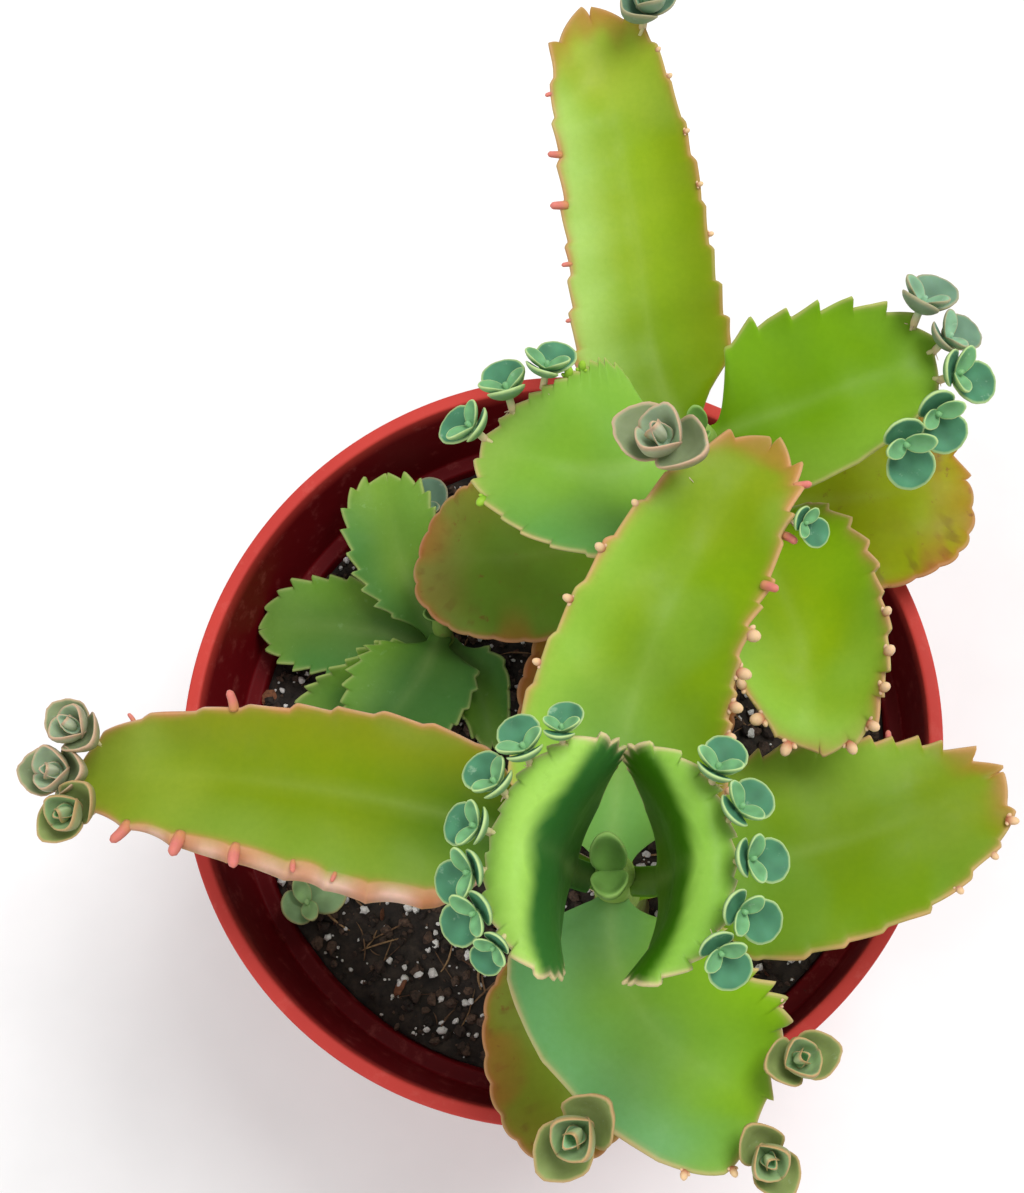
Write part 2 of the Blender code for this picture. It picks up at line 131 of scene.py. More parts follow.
STEMS = {
    "centre_stem": Stem((12, -32, 85), (16, -37, 180), 4.5, 2.6, (104, 114, 136, 142, 157, 171)),
    "back_stem": Stem((33, 50, 85), (31, 43, 156), 4.2, 2.4, (112, 131, 150)),
    "small_stem": Stem((-25, 17, 85), (-23, 25, 108), 2.4, 1.6, (92, 98, 103)),
}

# The youngest leaf pair on each stem: (size, turn), and how steeply it stands
GROWING_TIPS = {"centre_stem": (9.0, 92), "back_stem": (6.0, 100), "small_stem": (5.0, 20)}
TIP_LEAN = 56

LEAVES = {
    "centre_leaf_top_left": Leaf(
        "centre_stem", 170, (180, 173, 166, 164), (70, 86, 89, 89, 66, -50), 9, 30, 36, 1,
        base=0.5, widest=0.75, taper=0.0, blunt=1.9, wrap=(18.8, -7.3),
    ),
    "centre_leaf_top_right": Leaf(
        "centre_stem", 170, (-12, -4, 2, 2), (50, 66, 78, 84, 66, -50), 9, 26.5, 38, 1,
        base=0.5, widest=0.75, taper=0.0, blunt=1.9, wrap=(-8.7, -1.6),
    ),
    "centre_leaf_back": Leaf(
        "centre_stem", 156, (90, 72, 58, 56), (24, 12, 2, -8), 6, 70, 36, 38,
        base=0.95, widest=0.1, taper=0.4, blunt=8,
    ),
    "centre_leaf_front": Leaf(
        "centre_stem", 156, (-98, -61, -36, -18), (16, 0, -14, -28), 2.5, 40, 35, 30,
        base=0.9, widest=0.2, taper=0.1, blunt=10,
    ),
    "centre_leaf_left": Leaf(
        "centre_stem", 140, (150, 166, 172, 181), (4, 0, -4, -8), 18, 81, 30, 34,
        base=0.78, widest=0.3, taper=0.3, blunt=7,
    ),
    "centre_leaf_right": Leaf(
        "centre_stem", 136, (10, 10, 17, 36), (8, 2, -4, -10), 12, 53, 36, 22,
        roll=-10, base=0.85, widest=0.25, taper=0.1, blunt=2.6,
    ),
    "centre_leaf_low_front": Leaf(
        "centre_stem", 114, (-128, -104, -84, -66), (18, 6, 0, -6), 10, 35, 29, 16,
        widest=0.35, blunt=4,
    ),
    "centre_leaf_low_back": Leaf(
        "centre_stem", 104, (92, 86, 80, 74), (10, 6, 2, 0), 10, 46, 42, 14,
        base=0.6, widest=0.55, blunt=4,
    ),
    "back_leaf_top_left": Leaf(
        "back_stem", 150, (210, 190, 166, 148), (24, 14, 4, 0), 3, 34, 38, 38,
        base=0.9, widest=0.35, taper=0.25, blunt=2.8,
    ),
    "back_leaf_top_right": Leaf(
        "back_stem", 150, (14, 16, 20, 24), (18, 8, 2, -4), 4, 36, 31, 44,
        roll=8, base=0.85, widest=0.3, taper=0.15,
    ),
    "back_leaf_far": Leaf(
        "back_stem", 130, (120, 94, 99, 104), (14, 14, 12, 8), 10, 78, 29, 36,
        base=0.85, widest=0.12, taper=0.2, blunt=10,
    ),
    "back_leaf_near": Leaf(
        "back_stem", 130, (-64, -66, -76, -92), (34, 24, 12, 2), 14, 47, 34, 58,
        base=0.7, widest=0.45, taper=0.1,
    ),
    "back_leaf_low_left": Leaf(
        "back_stem", 112, (211, 199, 184, 168), (14, 8, 0, -4), 14, 43, 35, 16,
        widest=0.5, taper=0.1,
    ),
    "back_leaf_low_right": Leaf(
        "back_stem", 112, (-16, -6, 6, 14), (18, 10, 0, -6), 8, 38, 38, 16,
        widest=0.5, taper=0.1,
    ),
    "small_leaf_back": Leaf(
        "small_stem", 98, (122, 112, 102, 92), (22, 16, 10, 4), 4, 30, 19, 26,
        base=0.5, widest=0.6, taper=0.1, blunt=4,
    ),
    "small_leaf_left": Leaf(
        "small_stem", 92, (150, 166, 178, 186), (8, 6, 2, 0), 6, 31, 20, 18,
        base=0.6, widest=0.5, taper=0.1,
    ),
    "small_leaf_inner_left": Leaf(
        "small_stem", 97, (225, 212, 202, 196), (20, 10, 4, 2), 3, 27, 18, 30,
        roll=-25, widest=0.4, taper=0.1,
    ),
    "small_leaf_inner_front": Leaf(
        "small_stem", 103, (256, 246, 236, 230), (34, 18, 6, 0), 3, 26, 24, 30,
        widest=0.4, taper=0.1,
    ),
    "small_leaf_right": Leaf(
        "small_stem", 99, (-48, -60, -72, -84), (22, 14, 6, -2), 3, 20, 14, 70,
        base=0.6, widest=0.4, taper=0.1,
    ),
}

def both(kind, spacing, depth):
    """The same teeth on both margins."""
    return ((kind, spacing, depth), (kind, spacing, depth))


def row(kind, side, *places):
    """Buds of one kind along one margin, at places given as (share along, length)."""
    return tuple((side, share, length, kind) for share, length in places)


# Partly painted shade: the top pair is dark green from the stem up to the crease, where the bright
# tip colour sets in. Some of that darkness is the leaf's own colour and some is painted shade on
# the steep inner faces
TOP_LOOK = Look(
    root=(34, 82, 20), middle=(52, 108, 44), tip=(170, 216, 96), left=(60, 118, 50),
    right=(60, 118, 50), rim=(226, 200, 156), rim_width=0.8, rim_share=(0.85, 0.85),
    bloom=0.0, tip_range=(0.75, 0.83), tooth_range=(0.2, 0.34), under=(120, 166, 80),
    teeth=both("serrate", 2.8, 1.3), wave=0.25, thick=1.7,
)
YOUNG_LOOK = Look(
    root=(84, 130, 50), middle=(96, 142, 56), tip=(116, 158, 66), left=(86, 140, 64),
    right=(118, 162, 52), rim=(166, 190, 100), rim_width=0.5, rim_share=(0.5, 0.5), bloom=0.06,
    under=(110, 150, 94), teeth=both("serrate", 3.7, 1.7), wave=0.4,
    thick=2.0, skin="young_leaf",
)

LOOKS = {
    "centre_leaf_top_left": TOP_LOOK,
    # The same dark colours below the crease, partly the leaf's own colour and partly painted shade
    "centre_leaf_top_right": TOP_LOOK._replace(
        root=(70, 112, 2), middle=(58, 108, 8), tip=(144, 192, 74), left=(58, 110, 10),
        right=(58, 110, 10),
    ),
    "centre_leaf_back": Look(
        root=(118, 170, 84), middle=(132, 166, 10), tip=(138, 158, 24), left=(160, 204, 76),
        right=(126, 160, 0), rim=(214, 140, 92), rim_width=1.3, rim_share=(0.95, 0.75),
        bloom=0.12, under=(200, 170, 140), tip_boost=1.0,
        teeth=(("serrate", 5.6, 1.3), ("serrate", 7.0, 0.9)), wave=0.6,
        buds=(
            row("bud", 1, (0.18, 1.8), (0.31, 1.8), (0.45, 2.0), (0.57, 2.2), (0.69, 1.8))
            + row("hook", -1, (0.93, 2.8), (0.8, 3.0), (0.67, 3.2))
            + row("bud", -1, (0.54, 3.0), (0.44, 2.8), (0.35, 2.6), (0.27, 2.2), (0.2, 2.0))
            + row("bud", -1, (0.12, 1.8))
        ),
    ),
    "centre_leaf_front": Look(
        root=(108, 156, 84), middle=(126, 172, 52), tip=(134, 180, 30), left=(140, 186, 8),
        right=(110, 172, 106), rim=(214, 170, 120), rim_width=0.9, rim_share=(0.7, 0.7),
        bloom=0.2, under=(160, 180, 120),
        teeth=(("wavy", 8.0, 0.5), ("serrate", 4.2, 2.0)),
        buds=(
            row("bud", -1, (0.93, 1.8), (0.8, 1.8))
            + row("bud", 1, (0.86, 2.0))
            + row("bud", 0, (-0.3, 2.2))
        ),
    ),
    "centre_leaf_left": Look(
        root=(72, 112, 0), middle=(126, 150, 2), tip=(158, 174, 50), left=(136, 166, 54),
        right=(138, 146, 10), rim=(206, 132, 84), rim_width=1.1, rim_share=(0.85, 0.9),
        bloom=0.08, under=(236, 196, 180), lip=3.2,
        teeth=(("serrate", 9.0, 0.9), ("wavy", 9.5, 1.1)), wave=0.5,
        buds=(
            row("hook", 1, (0.86, 4.4), (0.72, 4.8), (0.58, 4.4), (0.44, 2.2), (0.34, 1.8))
            + row("hook", -1, (0.64, 3.6), (0.87, 1.8))
        ),
    ),
    "centre_leaf_right": Look(
        root=(120, 162, 20), middle=(118, 150, 0), tip=(130, 150, 2), left=(152, 188, 62),
        right=(120, 156, 0), rim=(214, 150, 96), rim_width=1.0, rim_share=(0.75, 0.75),
        bloom=0.12, under=(180, 170, 110), tip_boost=0.8,
        teeth=(("serrate", 6.6, 1.1), ("serrate", 5.0, 1.6)),
        buds=(
            row("bud", -1, (0.93, 2.2), (0.83, 1.8), (0.7, 1.8))
            + row("hook", 1, (0.74, 2.4))
        ),
    ),
    "centre_leaf_low_front": Look(
        root=(120, 148, 30), middle=(128, 150, 36), tip=(140, 132, 42), left=(138, 128, 36),
        right=(134, 138, 40), rim=(186, 106, 56), rim_width=1.1, rim_share=(0.9, 0.9),
        bloom=0.1, under=(150, 124, 80), teeth=both("crenate", 4.6, 0.7),
        spots=0.4, skin="old_leaf",
    ),
    "centre_leaf_low_back": Look(
        root=(130, 156, 20), middle=(134, 150, 20), tip=(150, 132, 30), left=(168, 112, 40),
        right=(150, 150, 30), rim=(186, 100, 50), rim_width=2.0, rim_share=(0.9, 0.9),
        bloom=0.05, under=(150, 130, 70), teeth=both("crenate", 4.6, 0.7),
        spots=0.4, skin="old_leaf",
    ),
    "back_leaf_top_left": Look(
        root=(134, 184, 58), middle=(128, 176, 48), tip=(146, 184, 78), left=(98, 156, 76),
        right=(142, 192, 72), rim=(214, 176, 120), rim_width=0.8, rim_share=(0.5, 0.6),
        bloom=0.15, under=(130, 166, 90), teeth=(("serrate", 3.6, 1.2), ("serrate", 3.8, 1.1)),
        buds=(
            row("green", -1, (0.55, 2.0), (0.66, 2.2))
            + row("green", 1, (0.4, 1.8), (0.86, 2.4))
        ),
    ),
    "back_leaf_top_right": Look(
        root=(110, 156, 0), middle=(114, 160, 0), tip=(128, 170, 50), left=(126, 174, 20),
        right=(136, 176, 50), rim=(186, 176, 100), rim_width=0.6, rim_share=(0.6, 0.5),
        bloom=0.1, under=(140, 176, 100), teeth=(("wavy", 9.0, 0.5), ("serrate", 5.4, 3.0)),
        wave=0.4,
    ),
    "back_leaf_far": Look(
        root=(122, 158, 0), middle=(148, 178, 30), tip=(166, 186, 56), left=(180, 216, 110),
        right=(126, 150, 0), rim=(190, 116, 60), rim_width=1.3, rim_share=(0.6, 0.95),
        bloom=0.05, under=(150, 156, 130), tip_boost=1.6,
        teeth=(("serrate", 7.6, 1.0), ("serrate", 7.4, 1.3)), wave=0.5,
        buds=(
            row("hook", 1, (0.82, 1.9), (0.66, 2.8), (0.53, 3.4), (0.38, 2.0), (0.24, 1.8))
            + row("bud", -1, (0.86, 1.4), (0.79, 1.4), (0.65, 1.4), (0.52, 1.4), (0.4, 1.4))
        ),
    ),
    "back_leaf_near": Look(
        root=(146, 186, 20), middle=(148, 182, 14), tip=(160, 204, 76), left=(142, 184, 16),
        right=(166, 212, 90), rim=(208, 128, 94), rim_width=1.8, rim_share=(0.7, 0.9),
        bloom=0.12, under=(170, 206, 110), teeth=(("wavy", 7.0, 0.9), ("serrate", 4.6, 1.6)),
        buds=(
            row("bud", 1, (0.62, 2.2), (0.74, 2.6), (0.84, 2.4), (0.93, 2.6))
            + row("bud", 0, (0.3, 2.6), (-0.3, 2.8))
            + row("bud", -1, (0.9, 3.0), (0.78, 2.6))
        ),
    ),
    "back_leaf_low_left": Look(
        root=(112, 152, 24), middle=(110, 148, 38), tip=(138, 138, 62), left=(108, 146, 42),
        right=(136, 142, 40), rim=(180, 100, 54), rim_width=1.1, rim_share=(0.9, 0.9),
        bloom=0.1, under=(150, 130, 80), teeth=both("crenate", 4.8, 0.6),
        spots=0.3, skin="old_leaf",
    ),
    "back_leaf_low_right": Look(
        root=(148, 174, 0), middle=(156, 172, 0), tip=(168, 148, 16), left=(156, 162, 0),
        right=(156, 172, 0), rim=(190, 104, 46), rim_width=1.5, rim_share=(0.9, 0.9),
        bloom=0.05, under=(160, 130, 70), teeth=(("crenate", 5.0, 0.8), ("serrate", 6.4, 1.6)),
        spots=0.45, skin="old_leaf",
    ),
    "small_leaf_back": YOUNG_LOOK._replace(middle=(114, 154, 52), tip=(128, 166, 60)),
    "small_leaf_left": YOUNG_LOOK._replace(middle=(98, 138, 54)),
    "small_leaf_inner_left": YOUNG_LOOK._replace(middle=(88, 140, 60)),
    "small_leaf_inner_front": YOUNG_LOOK._replace(middle=(76, 124, 52), tip=(96, 142, 62)),
    "small_leaf_right": YOUNG_LOOK._replace(middle=(106, 152, 56)),
}

# Plantlets: (leaf, side, share along the blade, size, pairs of leaves, tone). Side 0 is the tip,
# and there the share is how far across the blade, from -1 to 1. The two top leaves carry rows of
# them on their tips, given as (share, size).
TIP_ROWS = {
    "top_left": (
        (-0.82, 4.6), (-0.58, 5.6), (-0.29, 5.6), (0.0, 5.6), (0.28, 5.6), (0.55, 5.6),
        (0.78, 4.4),
    ),
    "top_right": ((0.56, 5.6), (0.28, 5.6), (-0.02, 5.6), (-0.32, 5.6), (-0.6, 5.6)),
}
PLANTLETS = {
    f"plantlet_{row}_{index}": (f"centre_leaf_{row}", 0, share, size, 2, "teal")
    for row, places in TIP_ROWS.items()
    for index, (share, size) in enumerate(places, 1)
} | {
    "plantlet_back_1": ("centre_leaf_back", 1, 0.82, 12.0, 3, "pink"),
    "plantlet_back_2": ("centre_leaf_back", -1, 0.84, 4.6, 2, "teal"),
    "plantlet_front_1": ("centre_leaf_front", -1, 0.5, 11.0, 3, "olive"),
    "plantlet_front_2": ("centre_leaf_front", 1, 1.0, 9.0, 3, "olive"),
    "plantlet_front_3": ("centre_leaf_front", -1, 1.0, 9.0, 3, "olive"),
    "plantlet_left_1": ("centre_leaf_left", -1, 0.96, 10.0, 3, "pink"),
    "plantlet_left_2": ("centre_leaf_left", 0, 0.0, 10.5, 3, "pink"),
    "plantlet_left_3": ("centre_leaf_left", 1, 0.96, 10.0, 3, "olive"),
    "plantlet_back_left_1": ("back_leaf_top_left", -1, 0.8, 6.5, 2, "teal"),
    "plantlet_back_left_2": ("back_leaf_top_left", -1, 0.95, 7.0, 2, "teal"),
    "plantlet_back_left_3": ("back_leaf_top_left", 0, 0.0, 7.0, 2, "teal"),
    "plantlet_back_right_1": ("back_leaf_top_right", 1, 0.96, 7.5, 2, "grey"),
    "plantlet_back_right_2": ("back_leaf_top_right", 0, 0.0, 6.5, 2, "grey"),
    "plantlet_back_right_3": ("back_leaf_top_right", -1, 0.96, 7.0, 2, "teal"),
    "plantlet_back_right_4": ("back_leaf_top_right", -1, 0.82, 7.0, 2, "teal"),
    "plantlet_back_right_5": ("back_leaf_top_right", -1, 0.64, 7.5, 2, "teal"),
    "plantlet_far_1": ("back_leaf_far", -1, 0.92, 9.5, 3, "grey"),
}

# Seedlings: (x, y) on the soil, size, turn, tone. Their feet are all at one height.
SEEDLING_FOOT = 87.2
SEEDLINGS = {
    "seedling_left": ((-53, -31), 10.0, 30, "pale"),
    "seedling_back": ((-30, 53), 9.0, 70, "grey"),
    "seedling_middle": ((-4, 17), 7.0, 10, "grey"),
    "seedling_centre": ((22, -48), 7.0, 50, "pale"),
}


class Habit(NamedTuple):
    """How a rosette grows.

    scale enlarges the table's size, tilt leans the whole rosette outward, rise lifts its outer
    leaves, cup curls each leaf, point sharpens its end and young is the young colour's share in
    the inner leaves. inner_lift folds up the outer leaf that faces the margin, and inner_size
    is its length and width.
    """

    scale: float
    tilt: float
    rise: float
    cup: float
    point: float
    young: float
    inner_lift: float
    inner_size: tuple


# Habits by the number of leaf pairs
HABITS = {
    2: Habit(1.25, 34, 14, 0.9, 0.0, 0.75, 26, (0.78, 0.85)),
    3: Habit(0.98, 16, 28, 1.8, 0.09, 0.4, 0, (1.0, 1.0)),
}

# Plantlet tones: the face of a leaf, its rim, the youngest pair
TONES = {
    "teal": (rgb(76, 130, 98), rgb(182, 206, 142), rgb(124, 176, 122)),
    "grey": (rgb(110, 142, 118), rgb(168, 160, 130), rgb(150, 190, 156)),
    "pink": (rgb(142, 154, 116), rgb(200, 166, 140), rgb(190, 214, 188)),
    "olive": (rgb(138, 152, 92), rgb(188, 154, 110), rgb(164, 206, 162)),
    "pale": (rgb(150, 182, 132), rgb(180, 176, 124), rgb(160, 194, 132)),
}

# Pot
POT_HEIGHT = 110.0
RIM_RADIUS = 75.0
LIP_WIDTH = 2.8
COLLAR_HEIGHT = 25.0
COLLAR_FOOT_RADIUS = 73.2
SHOULDER_RADIUS = 68.6
BASE_RADIUS = 51.0
WALL = 2.3
FLOOR_THICKNESS = 3.0
LEDGE_HEIGHT = 88.0
LEDGE_OUTER_RADIUS = 69.5
DRAIN_HOLES = 6
DRAIN_RADIUS = 4.0
DRAIN_RING_RADIUS = 36.0
SOIL_EDGE_HEIGHT = 86.5
SOIL_CROWN = 1.0
GAP = 0.3

# Leaves: the clear space between stem and petiole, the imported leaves' thickness, the petiole's
# half width, the spacing of points along a margin, the colours' share of full brightness, the
# places of points from midrib to margin, the margin's thickness and the midrib groove's depth
STEM_CLEARANCE = 0.72
LEAF_THICKNESS = 2.0
PETIOLE_HALF = 2.2
MARGIN_STEP = 0.42
TINT_SHARE = 0.84
COLUMNS = np.array([0, 0.1, 0.22, 0.35, 0.48, 0.6, 0.71, 0.8, 0.87, 0.925, 0.965, 0.99, 1.0])
MARGIN_THICKNESS = 0.55
MIDRIB_DEPTH = 0.5

# Colours that every leaf shares
BLOOM = rgb(120, 176, 110)
MIDRIB = rgb(200, 220, 140)
SPOT = rgb(112, 62, 34)
BURNT = rgb(170, 112, 50)
TOASTED = rgb(176, 110, 50)
EDGE_LINE = rgb(236, 210, 170)
STREAK = rgb(120, 84, 72)

# How far from the middle grains and fibres lie on the soil, and how far a fibre may reach
GRAIN_REACH = 65.0
FIBRE_REACH = 61.0
FIBRE_LIMIT = 64.5

# Points closer than this are joined, in metres
WELD_DISTANCE = 4e-6

# The camera and the light. Angles are in degrees, and places in metres.
CAMERA_PLACE = (0.0352, -0.0727, 0.450)
CAMERA_TIP = 17.81
CAMERA_TURN = 113.3
FOCAL_PIXELS = 1776
PHOTO_WIDTH = 1024
SENSOR_WIDTH = 36.0
WORLD_STRENGTH = 0.54
WINDOW_POWER = 10.0
FILL_POWER = 4.0


# Materials


class Paint:
    """A material's node tree, built step by step, with its noise in object coordinates."""

    def __init__(self, name):
        self.material = bpy.data.materials.new(name)
        self.material.use_nodes = True
        self.nodes = self.material.node_tree.nodes
        self.links = self.material.node_tree.links
        self.shader = self.nodes["Principled BSDF"]

    def noise(self, scale, detail=3.0, rough=0.55):
        """A noise texture, scale in cycles per metre."""
        where = self.nodes.new("ShaderNodeTexCoord")
        made = self.nodes.new("ShaderNodeTexNoise")
        made.inputs["Scale"].default_value = scale
        made.inputs["Detail"].default_value = detail
        made.inputs["Roughness"].default_value = rough
        self.links.new(where.outputs["Object"], made.inputs["Vector"])
        return made.outputs["Fac"]

    def remap(self, value, low, high, to_low, to_high):
        """A value carried from one range to another, held inside it."""
        made = self.nodes.new("ShaderNodeMapRange")
        for name, number in (
            ("From Min", low), ("From Max", high), ("To Min", to_low), ("To Max", to_high),
        ):
            made.inputs[name].default_value = number
        self.links.new(value, made.inputs["Value"])
        return made.outputs["Result"]

    def mix(self, share, first, second, blend="MIX"):
        """Two colours mixed. Each is a socket or linear numbers, and so is the share."""
        made = self.nodes.new("ShaderNodeMix")
        made.data_type = "RGBA"
        made.blend_type = blend
        for name, given in (("Factor", share), ("A", first), ("B", second)):
            kind = "VALUE" if name == "Factor" else "RGBA"
            socket = next(s for s in made.inputs if s.name == name and s.type == kind)
            if isinstance(given, bpy.types.NodeSocket):
                self.links.new(given, socket)
            elif name == "Factor":
                socket.default_value = given
            else:
                socket.default_value = (*given, 1.0)
        return next(s for s in made.outputs if s.type == "RGBA")

    def multiply(self, first, second):
        """Two values multiplied."""
        made = self.nodes.new("ShaderNodeMath")
        made.operation = "MULTIPLY"
        self.links.new(first, made.inputs[0])
        self.links.new(second, made.inputs[1])
        return made.outputs[0]

    def tint(self):
        """The colour that the mesh carries."""
        made = self.nodes.new("ShaderNodeAttribute")
        made.attribute_name = "tint"
        return made.outputs["Color"]

    def height(self):
        """How high each place is, in metres."""
        where = self.nodes.new("ShaderNodeNewGeometry")
        made = self.nodes.new("ShaderNodeSeparateXYZ")
        self.links.new(where.outputs["Position"], made.inputs["Vector"])
        return made.outputs["Z"]

    def surface(self, colour, gloss, bumps):
        """Sets the colour and roughness, and chains bumps of (height, strength, depth)."""
        self.links.new(colour, self.shader.inputs["Base Color"])
        self.links.new(gloss, self.shader.inputs["Roughness"])
        last = None
        for height, strength, depth in bumps:
            made = self.nodes.new("ShaderNodeBump")
            made.inputs["Strength"].default_value = strength
            made.inputs["Distance"].default_value = depth
            self.links.new(height, made.inputs["Height"])
            if last is not None:
                self.links.new(last, made.inputs["Normal"])
            last = made.outputs["Normal"]
        self.links.new(last, self.shader.inputs["Normal"])


def skin_material(name, rough, inner, shade, fleck, flecks):
    """Waxy living skin: the mesh's tint, mottled, with flecks and fine bumps."""
    paint = Paint(name)
    broad = paint.remap(paint.noise(90.0), 0.35, 0.65, 0.0, 1.0)
    base = paint.mix(broad, paint.tint(), shade, "MULTIPLY")
    cells = paint.remap(paint.noise(900.0, 2.0), 0.3, 0.7, 0.0, 0.3)
    base = paint.mix(cells, base, (0.8, 0.86, 0.7), "MULTIPLY")
    specks = paint.remap(paint.noise(420.0, 4.0, 0.7), 0.62, 0.72, 0.0, flecks)
    base = paint.mix(specks, base, fleck)
    gloss = paint.remap(paint.noise(240.0), 0.3, 0.7, rough - 0.07, rough + 0.07)
    paint.surface(base, gloss, [
        (paint.noise(150.0, 2.0), 0.25, 0.0004),
        (paint.noise(1600.0, 2.0), 0.12, 0.0001),
    ])
    paint.shader.inputs["Subsurface Weight"].default_value = inner
    paint.shader.inputs["Subsurface Radius"].default_value = (1.0, 1.2, 0.3)
    paint.shader.inputs["Subsurface Scale"].default_value = 0.0015
    paint.shader.inputs["Specular IOR Level"].default_value = 0.12
    return paint.material


def grain_material(name, rough, low, high, scale, depth):
    """A dry crumbly surface: the mesh's tint, darkened and lightened in grains."""
    paint = Paint(name)
    grains = paint.remap(paint.noise(scale, 5.0, 0.65), 0.3, 0.7, 0.0, 1.0)
    base = paint.mix(1.0, paint.tint(), paint.mix(grains, low, high), "MULTIPLY")
    gloss = paint.remap(grains, 0.0, 1.0, rough - 0.1, rough + 0.06)
    paint.surface(base, gloss, [(paint.noise(scale * 1.4, 5.0, 0.7), 0.7, depth)])
    return paint.material


def pot_material():
    """Moulded red plastic: cloudy colour, dust, and dried splashes of mix low down inside."""
    paint = Paint("pot_plastic")
    cloud = paint.remap(paint.noise(28.0, 4.0), 0.35, 0.65, 0.0, 1.0)
    base = paint.mix(cloud, paint.tint(), (0.86, 0.8, 0.86), "MULTIPLY")
    dust = paint.remap(paint.noise(260.0, 6.0, 0.7), 0.55, 0.75, 0.0, 0.22)
    base = paint.mix(dust, base, rgb(214, 120, 110))
    splashes = paint.remap(paint.noise(600.0, 6.0, 0.75), 0.66, 0.72, 0.0, 0.8)
    near_soil = paint.remap(paint.height(), 0.086, 0.102, 1.0, 0.0)
    base = paint.mix(paint.multiply(splashes, near_soil), base, rgb(42, 26, 22))
    gloss = paint.remap(paint.noise(120.0, 5.0), 0.3, 0.7, 0.48, 0.62)
    paint.surface(base, gloss, [
        (paint.noise(700.0, 3.0), 0.12, 0.00015),
        (paint.noise(60.0, 2.0), 0.2, 0.0005),
    ])
    paint.shader.inputs["Specular IOR Level"].default_value = 0.12
    return paint.material


# Living skins: name, roughness, light scattered inside, shade of the mottling, flecks, how strong
SKINS = {
    "leaf": ("leaf_skin", 0.44, 0.18, (0.92, 0.97, 0.9), (96, 140, 30), 0.1),
    "young_leaf": ("young_leaf_skin", 0.5, 0.15, (0.9, 0.96, 0.92), (150, 190, 130), 0.15),
    "old_leaf": ("old_leaf_skin", 0.46, 0.12, (0.92, 0.84, 0.74), (120, 70, 34), 0.6),
    "plantlet": ("plantlet_skin", 0.55, 0.12, (0.92, 0.96, 0.96), (186, 208, 180), 0.3),
    "stem": ("stem_skin", 0.5, 0.08, (0.85, 0.85, 0.8), (150, 110, 80), 0.5),
}

# Dry grains: name, roughness, darkest and lightest shade, cycles per metre, bump depth
GRAINS = {
    "soil": ("potting_mix", 0.93, (0.35, 0.35, 0.35), (1.7, 1.6, 1.5), 700, 0.0006),
    "crumb": ("mix_crumbs", 0.9, (0.3, 0.3, 0.3), (1.8, 1.7, 1.6), 1500, 0.0003),
    "perlite": ("perlite", 0.85, (0.75, 0.74, 0.72), (1.08, 1.08, 1.08), 2500, 0.0002),
    "bark": ("bark", 0.8, (0.5, 0.45, 0.42), (1.35, 1.3, 1.2), 1300, 0.0003),
}


def make_materials():
    """Every material, by name."""
    made = {"pot": pot_material()}
    for key, (name, rough, inner, shade, fleck, flecks) in SKINS.items():
        made[key] = skin_material(name, rough, inner, shade, rgb(*fleck), flecks)
    for key, values in GRAINS.items():
        made[key] = grain_material(*values)
    return made


# Meshes


def placed(name, data):
    """A new object in the scene."""
    obj = bpy.data.objects.new(name, data)
    bpy.context.scene.collection.objects.link(obj)
    return obj


class Build:
    """Points in millimetres, their colours and their faces, gathered for one piece."""

    def __init__(self):
        self.points = []
        self.tints = []
        self.faces = []
        self.count = 0

    def add(self, points, faces, tint):
        """Adds a mesh. tint is one colour or a colour for each point."""
        points = np.asarray(points, float).reshape(-1, 3)
        self.points.append(points)
        self.tints.append(np.broadcast_to(np.asarray(tint, float), points.shape))
        self.faces.append(np.asarray(faces, int).reshape(-1, 4) + self.count)
        self.count += len(points)

    def piece(self, name, surface, nodes, smooth=True):
        """The gathered mesh as one object that stands for the CAD nodes."""
        points = np.concatenate(self.points)
        tints = np.concatenate(self.tints)
        faces = np.concatenate(self.faces)
        mesh = bpy.data.meshes.new(name)
        mesh.from_pydata((points * MM).tolist(), [], faces.tolist())
        layer = mesh.attributes.new("tint", "FLOAT_COLOR", "POINT")
        colours = np.column_stack([np.clip(tints, 0, 1), np.ones(len(tints))])
        layer.data.foreach_set("color", colours.astype(np.float32).ravel())
        weld(mesh)
        if smooth:
            mesh.shade_smooth()
        mesh.materials.append(surface)
        obj = placed(name, mesh)
        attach(obj, "root")
        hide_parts(*nodes)
        return obj


def weld(mesh):
    """Joins the points that meet, drops faces that this flattens, and turns all faces outward."""
    bm = bmesh.new()
    bm.from_mesh(mesh)
    bmesh.ops.remove_doubles(bm, verts=bm.verts, dist=WELD_DISTANCE)
    bmesh.ops.dissolve_degenerate(bm, edges=bm.edges, dist=WELD_DISTANCE / 4)
    bmesh.ops.recalc_face_normals(bm, faces=bm.faces)
    bm.to_mesh(mesh)
    bm.free()


def grid_faces(rows, columns, closed=False):
    """Quads between the rows of a grid of points. closed joins the last column to the first."""
    index = np.arange(rows * columns).reshape(rows, columns)
    if closed:
        index = np.column_stack([index, index[:, :1]])
    corners = [index[:-1, :-1], index[:-1, 1:], index[1:, 1:], index[1:, :-1]]
    return np.stack(corners, axis=-1).reshape(-1, 4)


def waves(points, size, seed):
    """Smooth random waves about size across, near -1 to 1, at each point."""
    rng = np.random.default_rng(seed)
    total = np.zeros(len(points))
    for _ in range(7):
        way = rng.normal(size=points.shape[1])
        way *= 2 * np.pi / size / np.linalg.norm(way) * rng.uniform(0.6, 1.5)
        total += np.sin(points @ way + rng.uniform(0, 2 * np.pi))
    return total / 2.6


def step(low, high, value):
    """0 below low, 1 above high, and a smooth rise between."""
    share = np.clip((value - low) / (high - low), 0, 1)
    return share * share * (3 - 2 * share)


def blend(first, second, share):
    """Two colours mixed by a share for each point."""
    share = np.asarray(share)[..., None]
    return first * (1 - share) + second * share


def unit(vector):
    """The vector made one long."""
    return vector / np.linalg.norm(vector)


